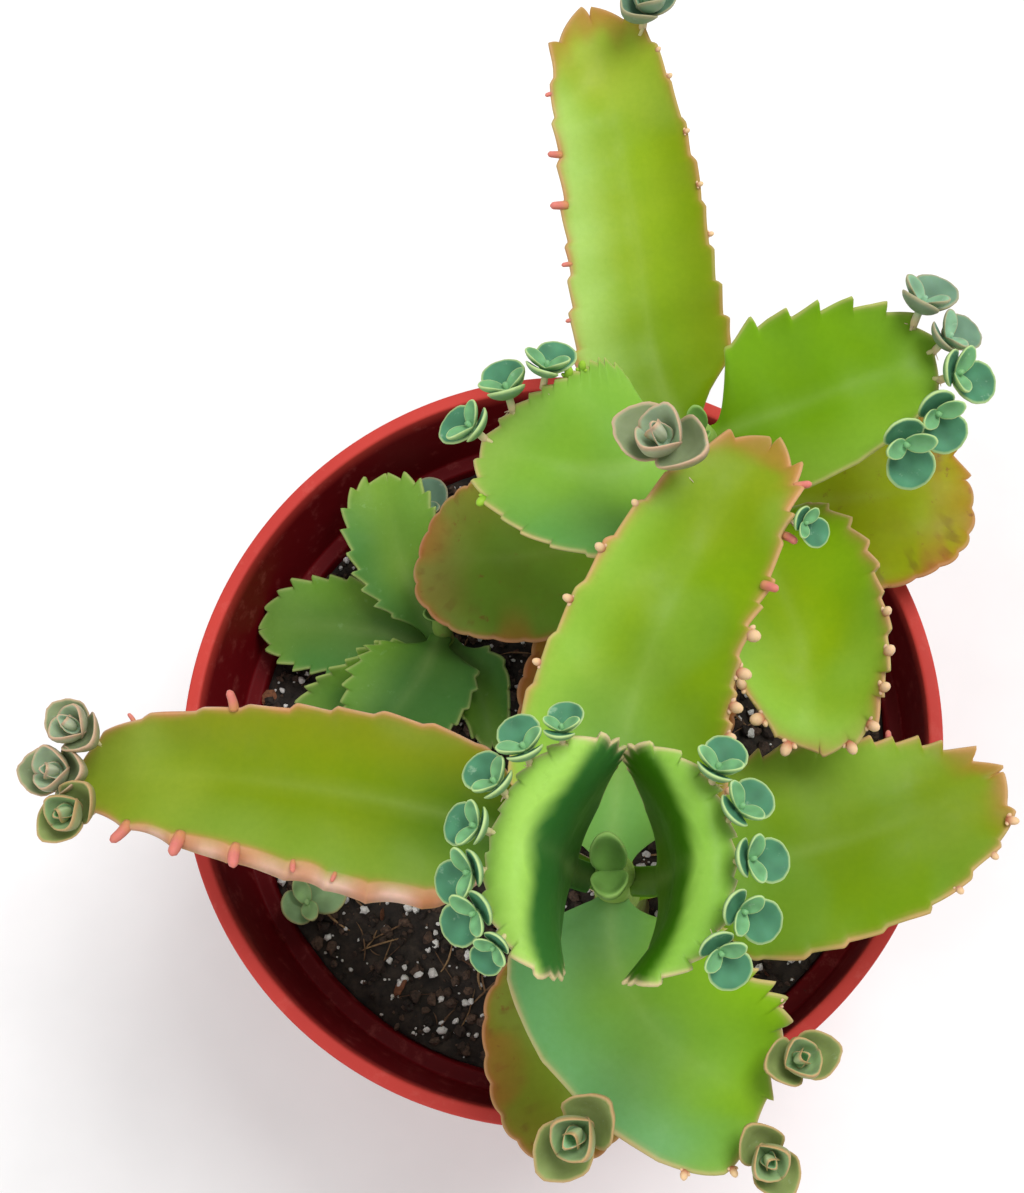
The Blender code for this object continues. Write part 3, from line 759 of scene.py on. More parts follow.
def units(vectors):
    """Rows of vectors, each made one long."""
    return vectors / np.maximum(np.linalg.norm(vectors, axis=1), 1e-9)[:, None]


def round_angles(sides):
    """Angles evenly round a circle."""
    return np.arange(sides) * 2 * np.pi / sides


def level_way(angle):
    """The level way at an angle in radians."""
    return np.array([np.cos(angle), np.sin(angle), 0.0])


def risen(way, degrees):
    """A level way raised by degrees."""
    angle = np.radians(degrees)
    return way * np.cos(angle) + np.array([0, 0, 1]) * np.sin(angle)


# Leaves


def turned(flat, angle):
    """Flat vectors turned by angles."""
    cos, sin = np.cos(angle), np.sin(angle)
    return np.column_stack(
        [flat[:, 0] * cos - flat[:, 1] * sin, flat[:, 0] * sin + flat[:, 1] * cos]
    )


class Rib:
    """A leaf's midrib and the curved sheet that its blade lies in."""

    STEPS = 200

    def __init__(self, leaf):
        stem = STEMS[leaf.stem]
        foot, top = np.array(stem.foot, float), np.array(stem.top, float)
        share = (leaf.height - foot[2]) / (top[2] - foot[2])
        radius = stem.foot_radius + share * (stem.top_radius - stem.foot_radius)
        off = radius + STEM_CLEARANCE + LEAF_THICKNESS / 2 * np.sin(np.radians(leaf.pitch[0]))
        start = foot + (top - foot) * share + off * level_way(np.radians(leaf.heading[0]))
        self.leaf = leaf
        if leaf.wrap:
            self.axis = (foot + (top - foot) * share)[:2] + leaf.wrap
        self.length = leaf.petiole + leaf.blade
        self.shares = np.linspace(0, 1, self.STEPS + 1)
        middle = self.frame((self.shares[1:] + self.shares[:-1]) / 2)[0]
        walked = np.cumsum(middle * self.length / self.STEPS, axis=0)
        self.points = np.vstack([start, start + walked])

    def frame(self, share):
        """The way ahead, the left and the upper side at shares of the whole length."""
        leaf = self.leaf
        share = np.clip(share, 0, 1)
        heading = np.radians(np.interp(share, np.linspace(0, 1, len(leaf.heading)), leaf.heading))
        pitch = np.radians(np.interp(share, np.linspace(0, 1, len(leaf.pitch)), leaf.pitch))
        ahead = np.column_stack(
            [np.cos(heading) * np.cos(pitch), np.sin(heading) * np.cos(pitch), np.sin(pitch)]
        )
        left = np.column_stack([-np.sin(heading), np.cos(heading), np.zeros(len(heading))])
        roll = np.radians(leaf.roll)
        left = left * np.cos(roll) + np.cross(ahead, left) * np.sin(roll)
        return ahead, left, np.cross(ahead, left)

    def sheet(self, x, y):
        """Points and normals of the blade's middle surface, x along it and y to the left."""
        share = (x + self.leaf.petiole) / self.length
        ahead, left, above = self.frame(share)
        inside = np.clip(share, 0, 1)
        point = np.column_stack(
            [np.interp(inside, self.shares, self.points[:, axis]) for axis in range(3)]
        )
        point = point + ahead * ((share - inside) * self.length)[:, None]
        if self.leaf.wrap:
            return self.wrapped(point, above, y)
        cupped = np.radians(self.leaf.cup) * np.clip(x / self.leaf.blade + 0.3, 0.1, 1)
        half = np.maximum(self.half(x), 0.36 * self.leaf.width)
        bend = (y / half * cupped)[:, None]
        reach = (half / cupped)[:, None]
        point = point + (left * np.sin(bend) + above * (1 - np.cos(bend))) * reach
        return point, above * np.cos(bend) - left * np.sin(bend)

    def wrapped(self, point, above, y):
        """The midrib's points and normals carried sideways round the axis that the blade wraps."""
        arm = point[:, :2] - self.axis
        turn = y / np.linalg.norm(arm, axis=1)
        moved = np.column_stack([turned(arm, turn) + self.axis, point[:, 2]])
        return moved, np.column_stack([turned(above[:, :2], turn), above[:, 2]])

    def half(self, x):
        """Half the blade's width at distances along it, before its teeth."""
        leaf = self.leaf
        along = np.clip(x / leaf.blade, 0, 1)
        rise = leaf.base + (1 - leaf.base) * np.sin(np.pi / 2 * np.minimum(along / leaf.widest, 1))
        past = np.clip((along - leaf.widest) / (1 - leaf.widest), 0, 1)
        fall = (1 - leaf.taper * past) * np.sqrt(1 - past**leaf.blunt)
        blade = np.where(along < leaf.widest, rise, fall) * leaf.width / 2
        flare = step(-0.12 * leaf.blade, 0.1 * leaf.blade, x)
        return PETIOLE_HALF + (blade - PETIOLE_HALF) * flare


def plain_margin(rib):
    """The margin of one half, from the stem to the tip: distance along, half width, arc length."""
    blade = rib.leaf.blade
    root = -rib.leaf.petiole - 2.0
    tip = blade * (1 - 0.2 * np.linspace(1, 0, 900)[1:] ** 2.2)
    along = np.concatenate([np.linspace(root, 0.8 * blade, 900), tip])
    half = rib.half(along)
    half[-1] = 0.0
    arc = np.concatenate([[0], np.cumsum(np.hypot(np.diff(along), np.diff(half)))])
    count = int(arc[-1] / MARGIN_STEP)
    even = np.linspace(0, arc[-1], count + 1)
    return np.interp(even, arc, along), np.interp(even, arc, half), even


def tooth_height(kind, phase):
    """How far a tooth stands out, from 0 to 1, at a share of its length."""
    if kind == "serrate":
        return np.where(
            phase < 0.76, (phase / 0.76) ** 1.25, np.clip((1 - phase) / 0.24, 0, 1) ** 0.8
        )
    if kind == "crenate":
        return np.sin(np.pi * phase) ** 0.6
    return 1 - np.sin(np.pi * phase) ** 0.7


def toothed(along, half, arc, blade, teeth, look, rng):
    """The margin with its teeth: points (x, y), and how far up a tooth each is."""
    kind, spacing, depth = teeth
    start = np.interp(0.02 * blade, along, arc)
    count = max(int(round((arc[-1] - start) / spacing)), 3)
    sizes = rng.uniform(0.8, 1.25, count)
    ends = start + np.concatenate([[0], np.cumsum(sizes) / sizes.sum()]) * (arc[-1] - start)
    tooth = np.clip(np.searchsorted(ends, arc, side="right") - 1, 0, count - 1)
    phase = np.clip((arc - ends[tooth]) / (ends[tooth + 1] - ends[tooth]), 0, 1)
    strong = rng.uniform(0.65, 1.25, count)
    strong[-1] = 0.9
    fade_in = step(*[start + share * arc[-1] for share in look.tooth_range], arc)
    taller = 1 + look.tip_boost * step(0.86, 0.98, along / blade)
    height = tooth_height(kind, phase) * strong[tooth] * fade_in * taller
    ahead = np.column_stack([np.gradient(along), np.gradient(half)])
    ahead /= np.linalg.norm(ahead, axis=1)[:, None]
    out = np.column_stack([-ahead[:, 1], ahead[:, 0]])
    out[-1] = (1.0, 0.0)
    lean = 0.55 if kind == "serrate" else 0.0
    ahead[-1] = 0.0
    moved = np.column_stack([along, half]) + depth * height[:, None] * (out + lean * ahead)
    moved[-1, 1] = 0.0
    return moved, height


def margin_point(rib, side, share):
    """A margin point and the outward way there. side 0 is the tip, share its offset across."""
    blade = rib.leaf.blade
    if side == 0:
        round_tip = np.linspace(rib.leaf.widest, 1, 300) * blade
        place = abs(share) * rib.leaf.width / 2
        x = np.interp(-place, -rib.half(round_tip), round_tip) - [0.0, 4.0]
        y = np.array([1.0, 0.6]) * share * rib.leaf.width / 2
    else:
        x = np.array([share * blade, share * blade])
        y = side * rib.half(x) * np.array([1.0, 0.55])
        pull = 0.7 * step(0.8, 1.0, np.array([share]))[0]
        x[1] -= pull * 5
    point, normal = rib.sheet(x, y)
    return point[0], unit(point[0] - point[1]), normal[0]


def face_tints(look, points, along, across, seed, ragged):
    """The upper side's colours, before the margin's."""
    colour = blend(rgb(*look.root), rgb(*look.middle), step(0.0, 0.4, along))
    colour = blend(colour, rgb(*look.left), 0.9 * step(0.1, 0.95, across))
    colour = blend(colour, rgb(*look.right), 0.9 * step(0.1, 0.95, -across))
    outer = step(*look.tip_range, along + ragged * waves(points, 16, seed))
    colour = blend(colour, rgb(*look.tip), outer)
    patch = step(0.1, 1.0, waves(points, 30, seed + 1)) * look.bloom
    return blend(colour, BLOOM, patch)


def aged(look, colour, points, along, inset, seed):
    """The colour with an old leaf's spots and burnt edge, and with a toasted tip."""
    if look.spots:
        spot = step(0.72, 1.0, waves(points, 3.2, seed + 2)) * step(9.0, 1.0, inset)
        colour = blend(colour, SPOT, spot * look.spots)
        burnt = step(0.2, 0.9, waves(points, 18, seed + 3)) * step(9.5, 0.5, inset)
        colour = blend(colour, BURNT, burnt * 0.6)
    if look.tip_boost:
        ragged = inset + 1.5 * waves(points, 7, seed + 8)
        toasted = step(0.84, 1.0, along) * step(6.0, 0.5, ragged)
        colour = blend(colour, TOASTED, toasted * 0.6)
    return colour


def leaf_tints(rib, look, points, x, y, inset, under, seed):
    """A colour for each point of a leaf. under tells which points are on its lower side."""
    blade = rib.leaf.blade
    along = np.clip(x / blade, 0, 1)
    across = y / (rib.leaf.width / 2)
    colour = face_tints(look, points, along, across, seed, 0.015 if rib.leaf.wrap else 0.05)
    midrib = np.exp(-((y / 1.4) ** 2)) * (1 - along) * 0.35
    colour = blend(colour, colour * 0.6 + MIDRIB * 0.4, midrib)
    colour = aged(look, colour, points, along, inset, seed)
    strength = np.where(across > 0, look.rim_share[1], look.rim_share[0])
    strength = strength * step(-0.05, 0.12, x / blade)
    patchy = 0.7 + 0.3 * waves(points, 9, seed + 4)
    rim = np.exp(-((inset / (0.6 * look.rim_width)) ** 1.5)) * strength * patchy
    colour = blend(colour, rgb(*look.rim), np.clip(rim, 0, 1))
    line = np.exp(-((inset / 0.28) ** 2)) * strength
    colour = blend(colour, rgb(*look.rim) * 0.5 + EDGE_LINE * 0.5, line * 0.6)
    below = rgb(*look.under) * (1 + 0.12 * waves(points, 12, seed + 5))[:, None]
    streak = step(0.35, 1.0, waves(points * [1, 1, 0.4], 5, seed + 6)) * 0.22
    below = blend(below, STREAK, streak)
    below = blend(below, rgb(*look.rim), np.clip(rim * 0.8, 0, 1))
    return np.where(under[:, None], below, colour) * TINT_SHARE


def add_leaf_blade(build, rib, look, seed):
    """The fleshy blade with its petiole, toothed margins and midrib groove."""
    rng = np.random.default_rng(seed)
    along, half, arc = plain_margin(rib)
    blade = rib.leaf.blade
    turn_in = max(blade - 0.33 * rib.leaf.width, 0.5 * blade)
    corner = np.interp(turn_in, along, arc)
    spine = np.where(arc < corner, along, turn_in + (arc - corner) * 0.12)
    plain = np.column_stack([along, half])
    near_edge = step(0.8, 1.0, COLUMNS)
    inset = (np.hypot(along - spine, half)[:, None] * (1 - COLUMNS)).ravel()
    for side, teeth in zip((-1, 1), look.teeth):
        edge, tooth = toothed(along, half, arc, blade, teeth, look, rng)
        moved = edge - plain
        x = spine[:, None] + (along - spine)[:, None] * COLUMNS + moved[:, :1] * near_edge
        y = (half[:, None] * COLUMNS + moved[:, 1:] * near_edge) * side
        lift = (tooth[:, None] * step(0.88, 1.0, COLUMNS)).ravel()
        add_half(build, rib, look, x, y, inset, lift, seed)


def lip_shift(rib, look, point, x, y, inset, columns):
    """How far the underside is carried outward and down near the left margin."""
    grid = point.reshape(-1, columns, 3)
    out = units(grid[:, -1] - grid[:, -3])
    along = x / rib.leaf.blade
    width = look.lip * step(-0.05, 0.12, along) * step(0.95, 0.6, along) * step(6.0, 0.0, inset)
    width = width * (y > 0)
    shift = np.repeat(out, columns, axis=0) - [0, 0, 0.7]
    return shift * width[:, None]


def add_half(build, rib, look, x, y, inset, lift, seed):
    """One half of a blade: upper side, lower side, the rounded edge and the end at the stem."""
    rows, columns = x.shape
    last_x, last_y = np.repeat(x[:, -1], 3), np.repeat(y[:, -1], 3)
    x, y = x.ravel(), y.ravel()
    point, normal = rib.sheet(x, y)
    fade = step(-4.0, 8.0, x)
    ripple = look.wave * waves(point, 17, seed + 7) * fade + 0.15 * lift
    along = np.clip(x / rib.leaf.blade, 0, 1)
    groove = np.exp(-((y / 1.8) ** 2)) * (1 - along) * MIDRIB_DEPTH * fade
    point = point + normal * ripple[:, None]
    fleshy = (look.thick - MARGIN_THICKNESS) * (1 - np.exp(-inset / 2.4))
    thick = (MARGIN_THICKNESS + fleshy) * (1.25 - 0.25 * fade)
    upper = point + normal * (thick / 2 - groove)[:, None]
    lower = point - normal * (thick / 2 + groove * 0.9)[:, None]
    lower = lower + lip_shift(rib, look, point, x, y, inset, columns)
    for side, under in ((upper, False), (lower, True)):
        tint = leaf_tints(rib, look, side, x, y, inset, np.full(len(x), under), seed)
        build.add(side, grid_faces(rows, columns), tint)
    edge_top = upper.reshape(rows, columns, 3)[:, -1]
    edge_low = lower.reshape(rows, columns, 3)[:, -1]
    inner = point.reshape(rows, columns, 3)
    out = units(inner[:, -1] - inner[:, -2])
    edge_mid = (edge_top + edge_low) / 2 + out * 0.22
    strip = np.stack([edge_top, edge_mid, edge_low], axis=1).reshape(-1, 3)
    under = np.tile([False, look.lip > 0, True], rows)
    tint = leaf_tints(rib, look, strip, last_x, last_y, np.zeros(rows * 3), under, seed)
    build.add(strip, grid_faces(rows, 3), tint)
    end = np.stack([upper[:columns], lower[:columns]], axis=0).reshape(-1, 3)
    build.add(end, grid_faces(2, columns), rgb(*look.root))


def ball_grid(rings, sides):
    """A unit ball as rows of points from pole to pole, and its faces."""
    down = np.linspace(0, np.pi, rings + 1)
    angle = round_angles(sides)
    points = np.stack([
        np.sin(down)[:, None] * np.cos(angle),
        np.sin(down)[:, None] * np.sin(angle),
        np.cos(down)[:, None] * np.ones(sides),
    ], axis=-1).reshape(-1, 3)
    return points, grid_faces(rings + 1, sides, closed=True)


BALL, BALL_FACES = ball_grid(8, 12)


def add_ball(build, centre, axes, radii, tint):
    """A ball stretched along three axes."""
    build.add(centre + (BALL * radii) @ np.asarray(axes), BALL_FACES, tint)


def add_tube(build, path, radii, tint, sides=10):
    """A round tube along points, closed to a point at each end."""
    path = np.asarray(path, float)
    radii = np.asarray(radii, float)
    ahead = np.gradient(path, axis=0)
    ahead /= np.linalg.norm(ahead, axis=1)[:, None]
    other = np.array([0.3, 0.2, 1.0]) if abs(ahead[0][2]) < 0.9 else np.array([1.0, 0.2, 0.1])
    first = np.cross(ahead, other)
    first /= np.linalg.norm(first, axis=1)[:, None]
    second = np.cross(ahead, first)
    angle = round_angles(sides)
    ring = first[:, None] * np.cos(angle)[:, None] + second[:, None] * np.sin(angle)[:, None]
    points = path[:, None] + ring * radii[:, None, None]
    ends = [np.repeat(path[i][None, None], sides, axis=1) for i in (0, -1)]
    points = np.concatenate([ends[0], points, ends[1]])
    tint = np.asarray(tint, float)
    if tint.ndim == 2:
        tint = np.repeat(np.vstack([tint[:1], tint, tint[-1:]]), sides, axis=0)
    build.add(points.reshape(-1, 3), grid_faces(len(points), sides, closed=True), tint)


def add_bud(build, rib, side, share, length, kind, rng):
    """What sprouts in a margin's notch: a fleshy hook, or a bud of two or three tiny leaves."""
    point, out, normal = margin_point(rib, side, share)
    along = np.cross(normal, out)
    if kind == "hook":
        bend = rng.uniform(-0.3, 0.3)
        t = np.linspace(-0.06, 1, 9)
        path = point + out * (t * length)[:, None] + along * (bend * length * t**2)[:, None]
        path = path + normal * (0.15 * length * t)[:, None]
        plump = np.interp(t, [-0.06, 0.1, 0.55, 0.85, 1], [0.9, 0.95, 0.85, 0.8, 0.3])
        tint = blend(rgb(206, 140, 96), rgb(214, 124, 116), step(0.0, 0.6, t))
        add_tube(build, path, length * 0.27 * plump, tint)
        return
    pale, deep = rgb(230, 190, 154), rgb(190, 112, 84)
    if kind == "green":
        pale, deep = rgb(150, 190, 60), rgb(120, 170, 40)
    size = length * 0.64
    for turn, reach, part in ((0.0, 0.8, 1.25), (1.1, 0.6, 0.6), (-1.1, 0.55, 0.5)):
        way = unit(out * np.cos(turn) + along * np.sin(turn) + normal * rng.uniform(0.1, 0.5))
        side_way = unit(np.cross(normal, way))
        centre = point + way * size * reach
        shade = blend(deep, pale, step(-0.7, 0.5, BALL[:, 0]))
        add_ball(build, centre, [way, side_way, np.cross(way, side_way)],
                 np.array([0.72, 0.46, 0.4]) * size * part, shade)


def make_leaf(name, materials, seed):
    """A leaf as one piece."""
    build = Build()
    rib = Rib(LEAVES[name])
    look = LOOKS[name]
    add_leaf_blade(build, rib, look, seed)
    rng = np.random.default_rng(seed + 50)
    for bud in look.buds:
        add_bud(build, rib, *bud, rng)
    build.piece(f"{name}_skin", materials[look.skin], [name])


# Plantlets


def add_round_leaf(build, base, ahead, up, length, width, cup, tone, seed, point=0.0):
    """A small thick round leaf with a pale scalloped rim. tone is (face, rim)."""
    rings, sides = 7, 30
    side_way = unit(np.cross(up, ahead))
    r = np.concatenate([[0], np.linspace(0.2, 1, rings - 1) ** 0.75])[:, None]
    angle = round_angles(sides)
    rng = np.random.default_rng(seed)
    scallop = 1 + 0.035 * np.abs(np.cos(angle * 5 + rng.uniform(0, 3))) ** 0.5
    narrow = 1 - 0.12 * step(0.2, -1, np.cos(angle))
    sharp_x = 1 + 0.7 * point * step(0.9, 1.0, np.cos(angle))
    sharp_y = 1 - 1.8 * point * step(-0.4, 1.0, np.cos(angle))
    flat_y = np.sin(angle) * scallop * narrow
    x = r * np.cos(angle) * scallop * length / 2 * sharp_x
    y = r * flat_y * width / 2 * sharp_y
    bowl = cup * length * r**2 * (0.12 + 0.1 * flat_y**2)
    thick = 0.085 * length * np.sqrt(np.clip(1 - (r * 0.985) ** 6, 0, 1)) * np.ones(sides)
    face, rim = tone
    dusty = 0.12 * waves(np.column_stack([x.ravel(), y.ravel()]), length * 0.6, seed)
    edge = (step(0.9, 0.98, r) * np.ones(sides)).ravel()
    top = blend(face * (1 + dusty)[:, None], rim, edge)
    centre = base + ahead * length * 0.5

    def place(x, y, z):
        """Points at x ahead, y sideways and z up from the leaf's middle."""
        return (
            centre + x.ravel()[:, None] * ahead + y.ravel()[:, None] * side_way
            + z.ravel()[:, None] * up
        )

    for sign, tint in ((1, top), (-1, blend(top, rim * 0.8, 0.35))):
        points = place(x, y, bowl + sign * thick)
        build.add(points, grid_faces(rings, sides, closed=True), tint)
    strip = [
        place(x[-1] * more, y[-1] * more, bowl[-1] + sign * thick[-1])
        for sign, more in ((1, 1.0), (0, 1.012), (-1, 1.0))
    ]
    build.add(np.concatenate(strip), grid_faces(3, sides, closed=True), rim)


def add_rosette(build, foot, axis, flat, size, pairs, tone, seed):
    """A plantlet: crossed pairs of round leaves on a short stalk. Returns its random numbers."""
    rng = np.random.default_rng(seed)
    side_way = unit(np.cross(axis, flat))
    ahead = np.cross(side_way, axis)
    face, rim, young = TONES[tone]
    habit = HABITS[pairs]
    top = 0.36 + 0.12 * pairs
    t = np.linspace(-0.12, top, 6)
    radii = size * np.interp(t, [-0.12, 0.3, top], [0.085, 0.075, 0.05])
    stalk = blend(rgb(214, 190, 150), young, step(0, 0.4, t))
    add_tube(build, foot + axis * (t * size)[:, None], radii, stalk)
    for pair in range(pairs):
        length = size * 0.9 * (1 - 0.63 * pair / pairs)
        width = length * (1.0 - 0.42 * (pair == pairs - 1))
        skin = blend(face, young, min(habit.young * pair, 1.0))
        turn = np.radians(90 * pair + rng.uniform(-8, 8))
        for half in (0, np.pi):
            inner = pair == 0 and half > 0
            long_share, wide_share = habit.inner_size if inner else (1.0, 1.0)
            rise = habit.rise + 22 * pair + habit.inner_lift * inner
            lean = np.radians(rise + rng.uniform(-5, 5))
            way = ahead * np.cos(turn + half) + side_way * np.sin(turn + half)
            out = way * np.cos(lean) + axis * np.sin(lean)
            up = axis * np.cos(lean) - way * np.sin(lean)
            base = foot + axis * (0.22 + 0.15 * pair) * size + way * size * 0.02
            long = length * rng.uniform(0.92, 1.05) * long_share
            add_round_leaf(
                build, base, out, up, long, width * wide_share, habit.cup, (skin, rim),
                seed + pair * 7 + int(half), habit.point,
            )
    return rng


def add_rootlets(build, foot, axis, size, rng):
    """The fine roots under a plantlet that still hangs on its leaf."""
    for _ in range(4):
        way = unit(-axis + rng.normal(size=3) * 0.6)
        t = np.linspace(0, 1, 7)
        curl = rng.normal(size=3) * 0.1
        path = foot + way * (t * size * 0.22)[:, None] + curl * (t**2 * size)[:, None]
        add_tube(build, path, np.linspace(0.16, 0.06, 7), rgb(226, 196, 170), sides=6)


def make_plantlet(name, materials, seed):
    """A plantlet at the margin that grew it."""
    leaf_name, side, share, size, pairs, tone = PLANTLETS[name]
    low, high = (np.array(corner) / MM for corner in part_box(name))
    rib = Rib(LEAVES[leaf_name])
    point, out, _ = margin_point(rib, side, min(share, 0.985))
    flat = unit(np.array([out[0], out[1], 0.0]))
    habit = HABITS[pairs]
    axis = risen(flat, 90 - habit.tilt)
    cad_foot = (low + high) / 2 - axis * size * 0.3
    kept = 0.1 if rib.leaf.wrap or leaf_name == "back_leaf_far" else 0.4
    foot = kept * cad_foot + (1 - kept) * (point + out * 0.6)
    build = Build()
    grown = size * habit.scale
    rng = add_rosette(build, foot, axis, flat, grown, pairs, tone, seed)
    add_rootlets(build, foot, axis, grown, rng)
    bridge = [foot, (foot + point) / 2 + [0, 0, 0.1], point - out * 0.8]
    add_tube(build, bridge, [0.5, 0.4, 0.45], rgb(206, 196, 140), sides=8)
    build.piece(f"{name}_rosette", materials["plantlet"], [name])


def make_seedling(name, materials, seed):
    """A rosette rooted in the soil."""
    (x, y), size, turn, tone = SEEDLINGS[name]
    build = Build()
    flat = level_way(np.radians(turn))
    axis = unit(np.array([0.0, 0.0, 1.0]) + 0.12 * flat)
    add_rosette(build, np.array([x, y, SEEDLING_FOOT]), axis, flat, size, 2, tone, seed)
    build.piece(f"{name}_rosette", materials["plantlet"], [name])


# Stems


def make_stem(name, materials, seed):
    """A fleshy stem, swollen where leaves join it, with scars and a growing tip."""
    stem = STEMS[name]
    foot, top = np.array(stem.foot, float), np.array(stem.top, float)
    t = np.linspace(0, 1, 120)
    height = foot[2] + t * (top[2] - foot[2])
    level = height[:, None]
    wobble = np.column_stack([waves(level, 40, seed), waves(level, 34, seed + 1), 0 * t])
    path = foot + (top - foot) * t[:, None] + wobble * 0.35
    radius = stem.foot_radius + t * (stem.top_radius - stem.foot_radius)
    swell = sum(np.exp(-(((height - joint) / 1.8) ** 2)) for joint in stem.joints)
    ring = sum(np.exp(-(((height - joint + 2.4) / 0.5) ** 2)) for joint in stem.joints)
    radius = radius * (1 + 0.16 * np.clip(swell, 0, 1) - 0.05 * np.clip(ring, 0, 1))
    radius = radius * (1 + 0.03 * waves(level, 5, seed + 2))
    radius[-4:] *= np.array([0.95, 0.8, 0.55, 0.3])
    tint = blend(rgb(120, 116, 70), rgb(140, 172, 84), step(0.1, 0.7, t))
    tint = blend(tint, rgb(176, 150, 110), 0.6 * np.clip(ring, 0, 1))
    build = Build()
    add_tube(build, path, radius, tint, sides=28)
    add_growing_tip(build, name, top, seed)
    build.piece(f"{name}_skin", materials["stem"], [name])


def add_growing_tip(build, name, top, seed):
    """The youngest leaf pair, folded over the stem's top."""
    size, turn = GROWING_TIPS[name]
    tone = (rgb(114, 156, 78), rgb(140, 178, 96))
    for half in (0, np.pi):
        way = level_way(np.radians(turn) + half)
        out = risen(way, TIP_LEAN)
        up = risen(way, TIP_LEAN + 90)
        base = top - [0, 0, 1.0] + way * 0.5
        add_round_leaf(build, base, out, up, size, size * 0.62, 0.9, tone, seed)


# Soil


def soil_height(x, y):
    """The lumpy height of the soil's surface."""
    radius = np.hypot(x, y)
    place = np.column_stack([x, y])
    fall = np.clip((radius - 30) / 35, 0, 1)
    lumps = 1.1 * waves(place, 22, 1) + 0.7 * waves(place, 9, 2) + 0.35 * waves(place, 3.4, 3)
    return SOIL_EDGE_HEIGHT + SOIL_CROWN * (1 - fall) + 0.6 * lumps


def make_soil(materials):
    """The body of the potting mix, with its lumpy top."""
    build = Build()
    sides, rings = 220, 70
    slope = (SHOULDER_RADIUS - BASE_RADIUS) / (LEDGE_HEIGHT - FLOOR_THICKNESS)
    outer = SHOULDER_RADIUS - WALL - slope * (LEDGE_HEIGHT - SOIL_EDGE_HEIGHT) - GAP
    low = BASE_RADIUS - WALL - GAP
    radius = np.linspace(0, outer, rings)
    angle = round_angles(sides)
    x = (radius[:, None] * np.cos(angle)).ravel()
    y = (radius[:, None] * np.sin(angle)).ravel()
    z = soil_height(x, y)
    points = np.column_stack([x, y, z])
    dark = rgb(48, 42, 37) * (1 + 0.35 * waves(points[:, :2], 6, 5))[:, None]
    build.add(points, grid_faces(rings, sides, closed=True), dark)
    edge = points[-sides:]
    floor = np.full(sides, FLOOR_THICKNESS + GAP)
    foot = np.column_stack([low * np.cos(angle), low * np.sin(angle), floor])
    middle = foot * [0, 0, 1]
    wall = np.concatenate([edge, edge * 0.55 + foot * 0.45, foot, middle])
    build.add(wall, grid_faces(4, sides, closed=True), rgb(40, 35, 31))
    build.piece("soil_bed", materials["soil"], ["soil"])


def rock(rng, size, flat, rough):
    """A small broken lump: points and faces."""
    turn = np.linalg.qr(rng.normal(size=(3, 3)))[0]
    shape = ROCK * (1 + rough * rng.uniform(-1, 1, (len(ROCK_KEY), 1)))[ROCK_KEY]
    return (shape * size * np.array([1.0, rng.uniform(0.6, 1.0), flat])) @ turn


def rock_grid():
    """A coarse ball whose pole points move as one."""
    points, faces = ball_grid(4, 7)
    key = np.unique(np.round(points, 4), axis=0, return_inverse=True)[1].reshape(-1)
    return points, faces, key


ROCK, ROCK_FACES, ROCK_KEY = rock_grid()


def scatter(rng, count, reach):
    """Random places on the soil, spread evenly over a disc of the given reach."""
    angle = rng.uniform(0, 2 * np.pi, count)
    radius = reach * np.sqrt(rng.uniform(0, 1, count))
    return np.column_stack([radius * np.cos(angle), radius * np.sin(angle)])


class Grains(NamedTuple):
    """Loose grains on the soil.

    surface is the material and seed starts the random numbers. sizes, flat and rough give each
    grain's size, flatness and roughness, colours the two that its own lies between, and lift how
    far above the soil its middle lies, as a share of its size.
    """

    surface: str
    seed: int
    count: int
    sizes: tuple
    flat: tuple
    rough: float
    colours: tuple
    lift: float


LOOSE = {
    "soil_crumbs": Grains(
        "crumb", 11, 3400, (0.6, 3.4), (0.5, 0.9), 0.3, (rgb(34, 30, 27), rgb(92, 74, 62)), 0.12
    ),
    "soil_perlite": Grains(
        "perlite", 12, 1700, (0.5, 2.2), (0.7, 1.0), 0.22,
        (rgb(236, 235, 230), rgb(255, 255, 252)), 0.45,
    ),
    "soil_bark": Grains(
        "bark", 13, 170, (1.6, 5.5), (0.14, 0.3), 0.25, (rgb(70, 42, 30), rgb(136, 88, 60)), 0.14
    ),
}


def make_grains(name, materials):
    """Loose grains lying on the soil."""
    kind = LOOSE[name]
    rng = np.random.default_rng(kind.seed)
    build = Build()
    places = scatter(rng, kind.count, GRAIN_REACH)
    heights = soil_height(places[:, 0], places[:, 1])
    low, high = kind.sizes
    for (x, y), z in zip(places, heights):
        size = low + (high - low) * rng.random() ** 2.2
        grain = rock(rng, size / 2, rng.uniform(*kind.flat), kind.rough)
        colour = blend(*kind.colours, np.array([rng.random()]))[0]
        build.add(grain + [x, y, z + size * kind.lift], ROCK_FACES, colour)
    build.piece(name, materials[kind.surface], ["soil"], smooth=False)


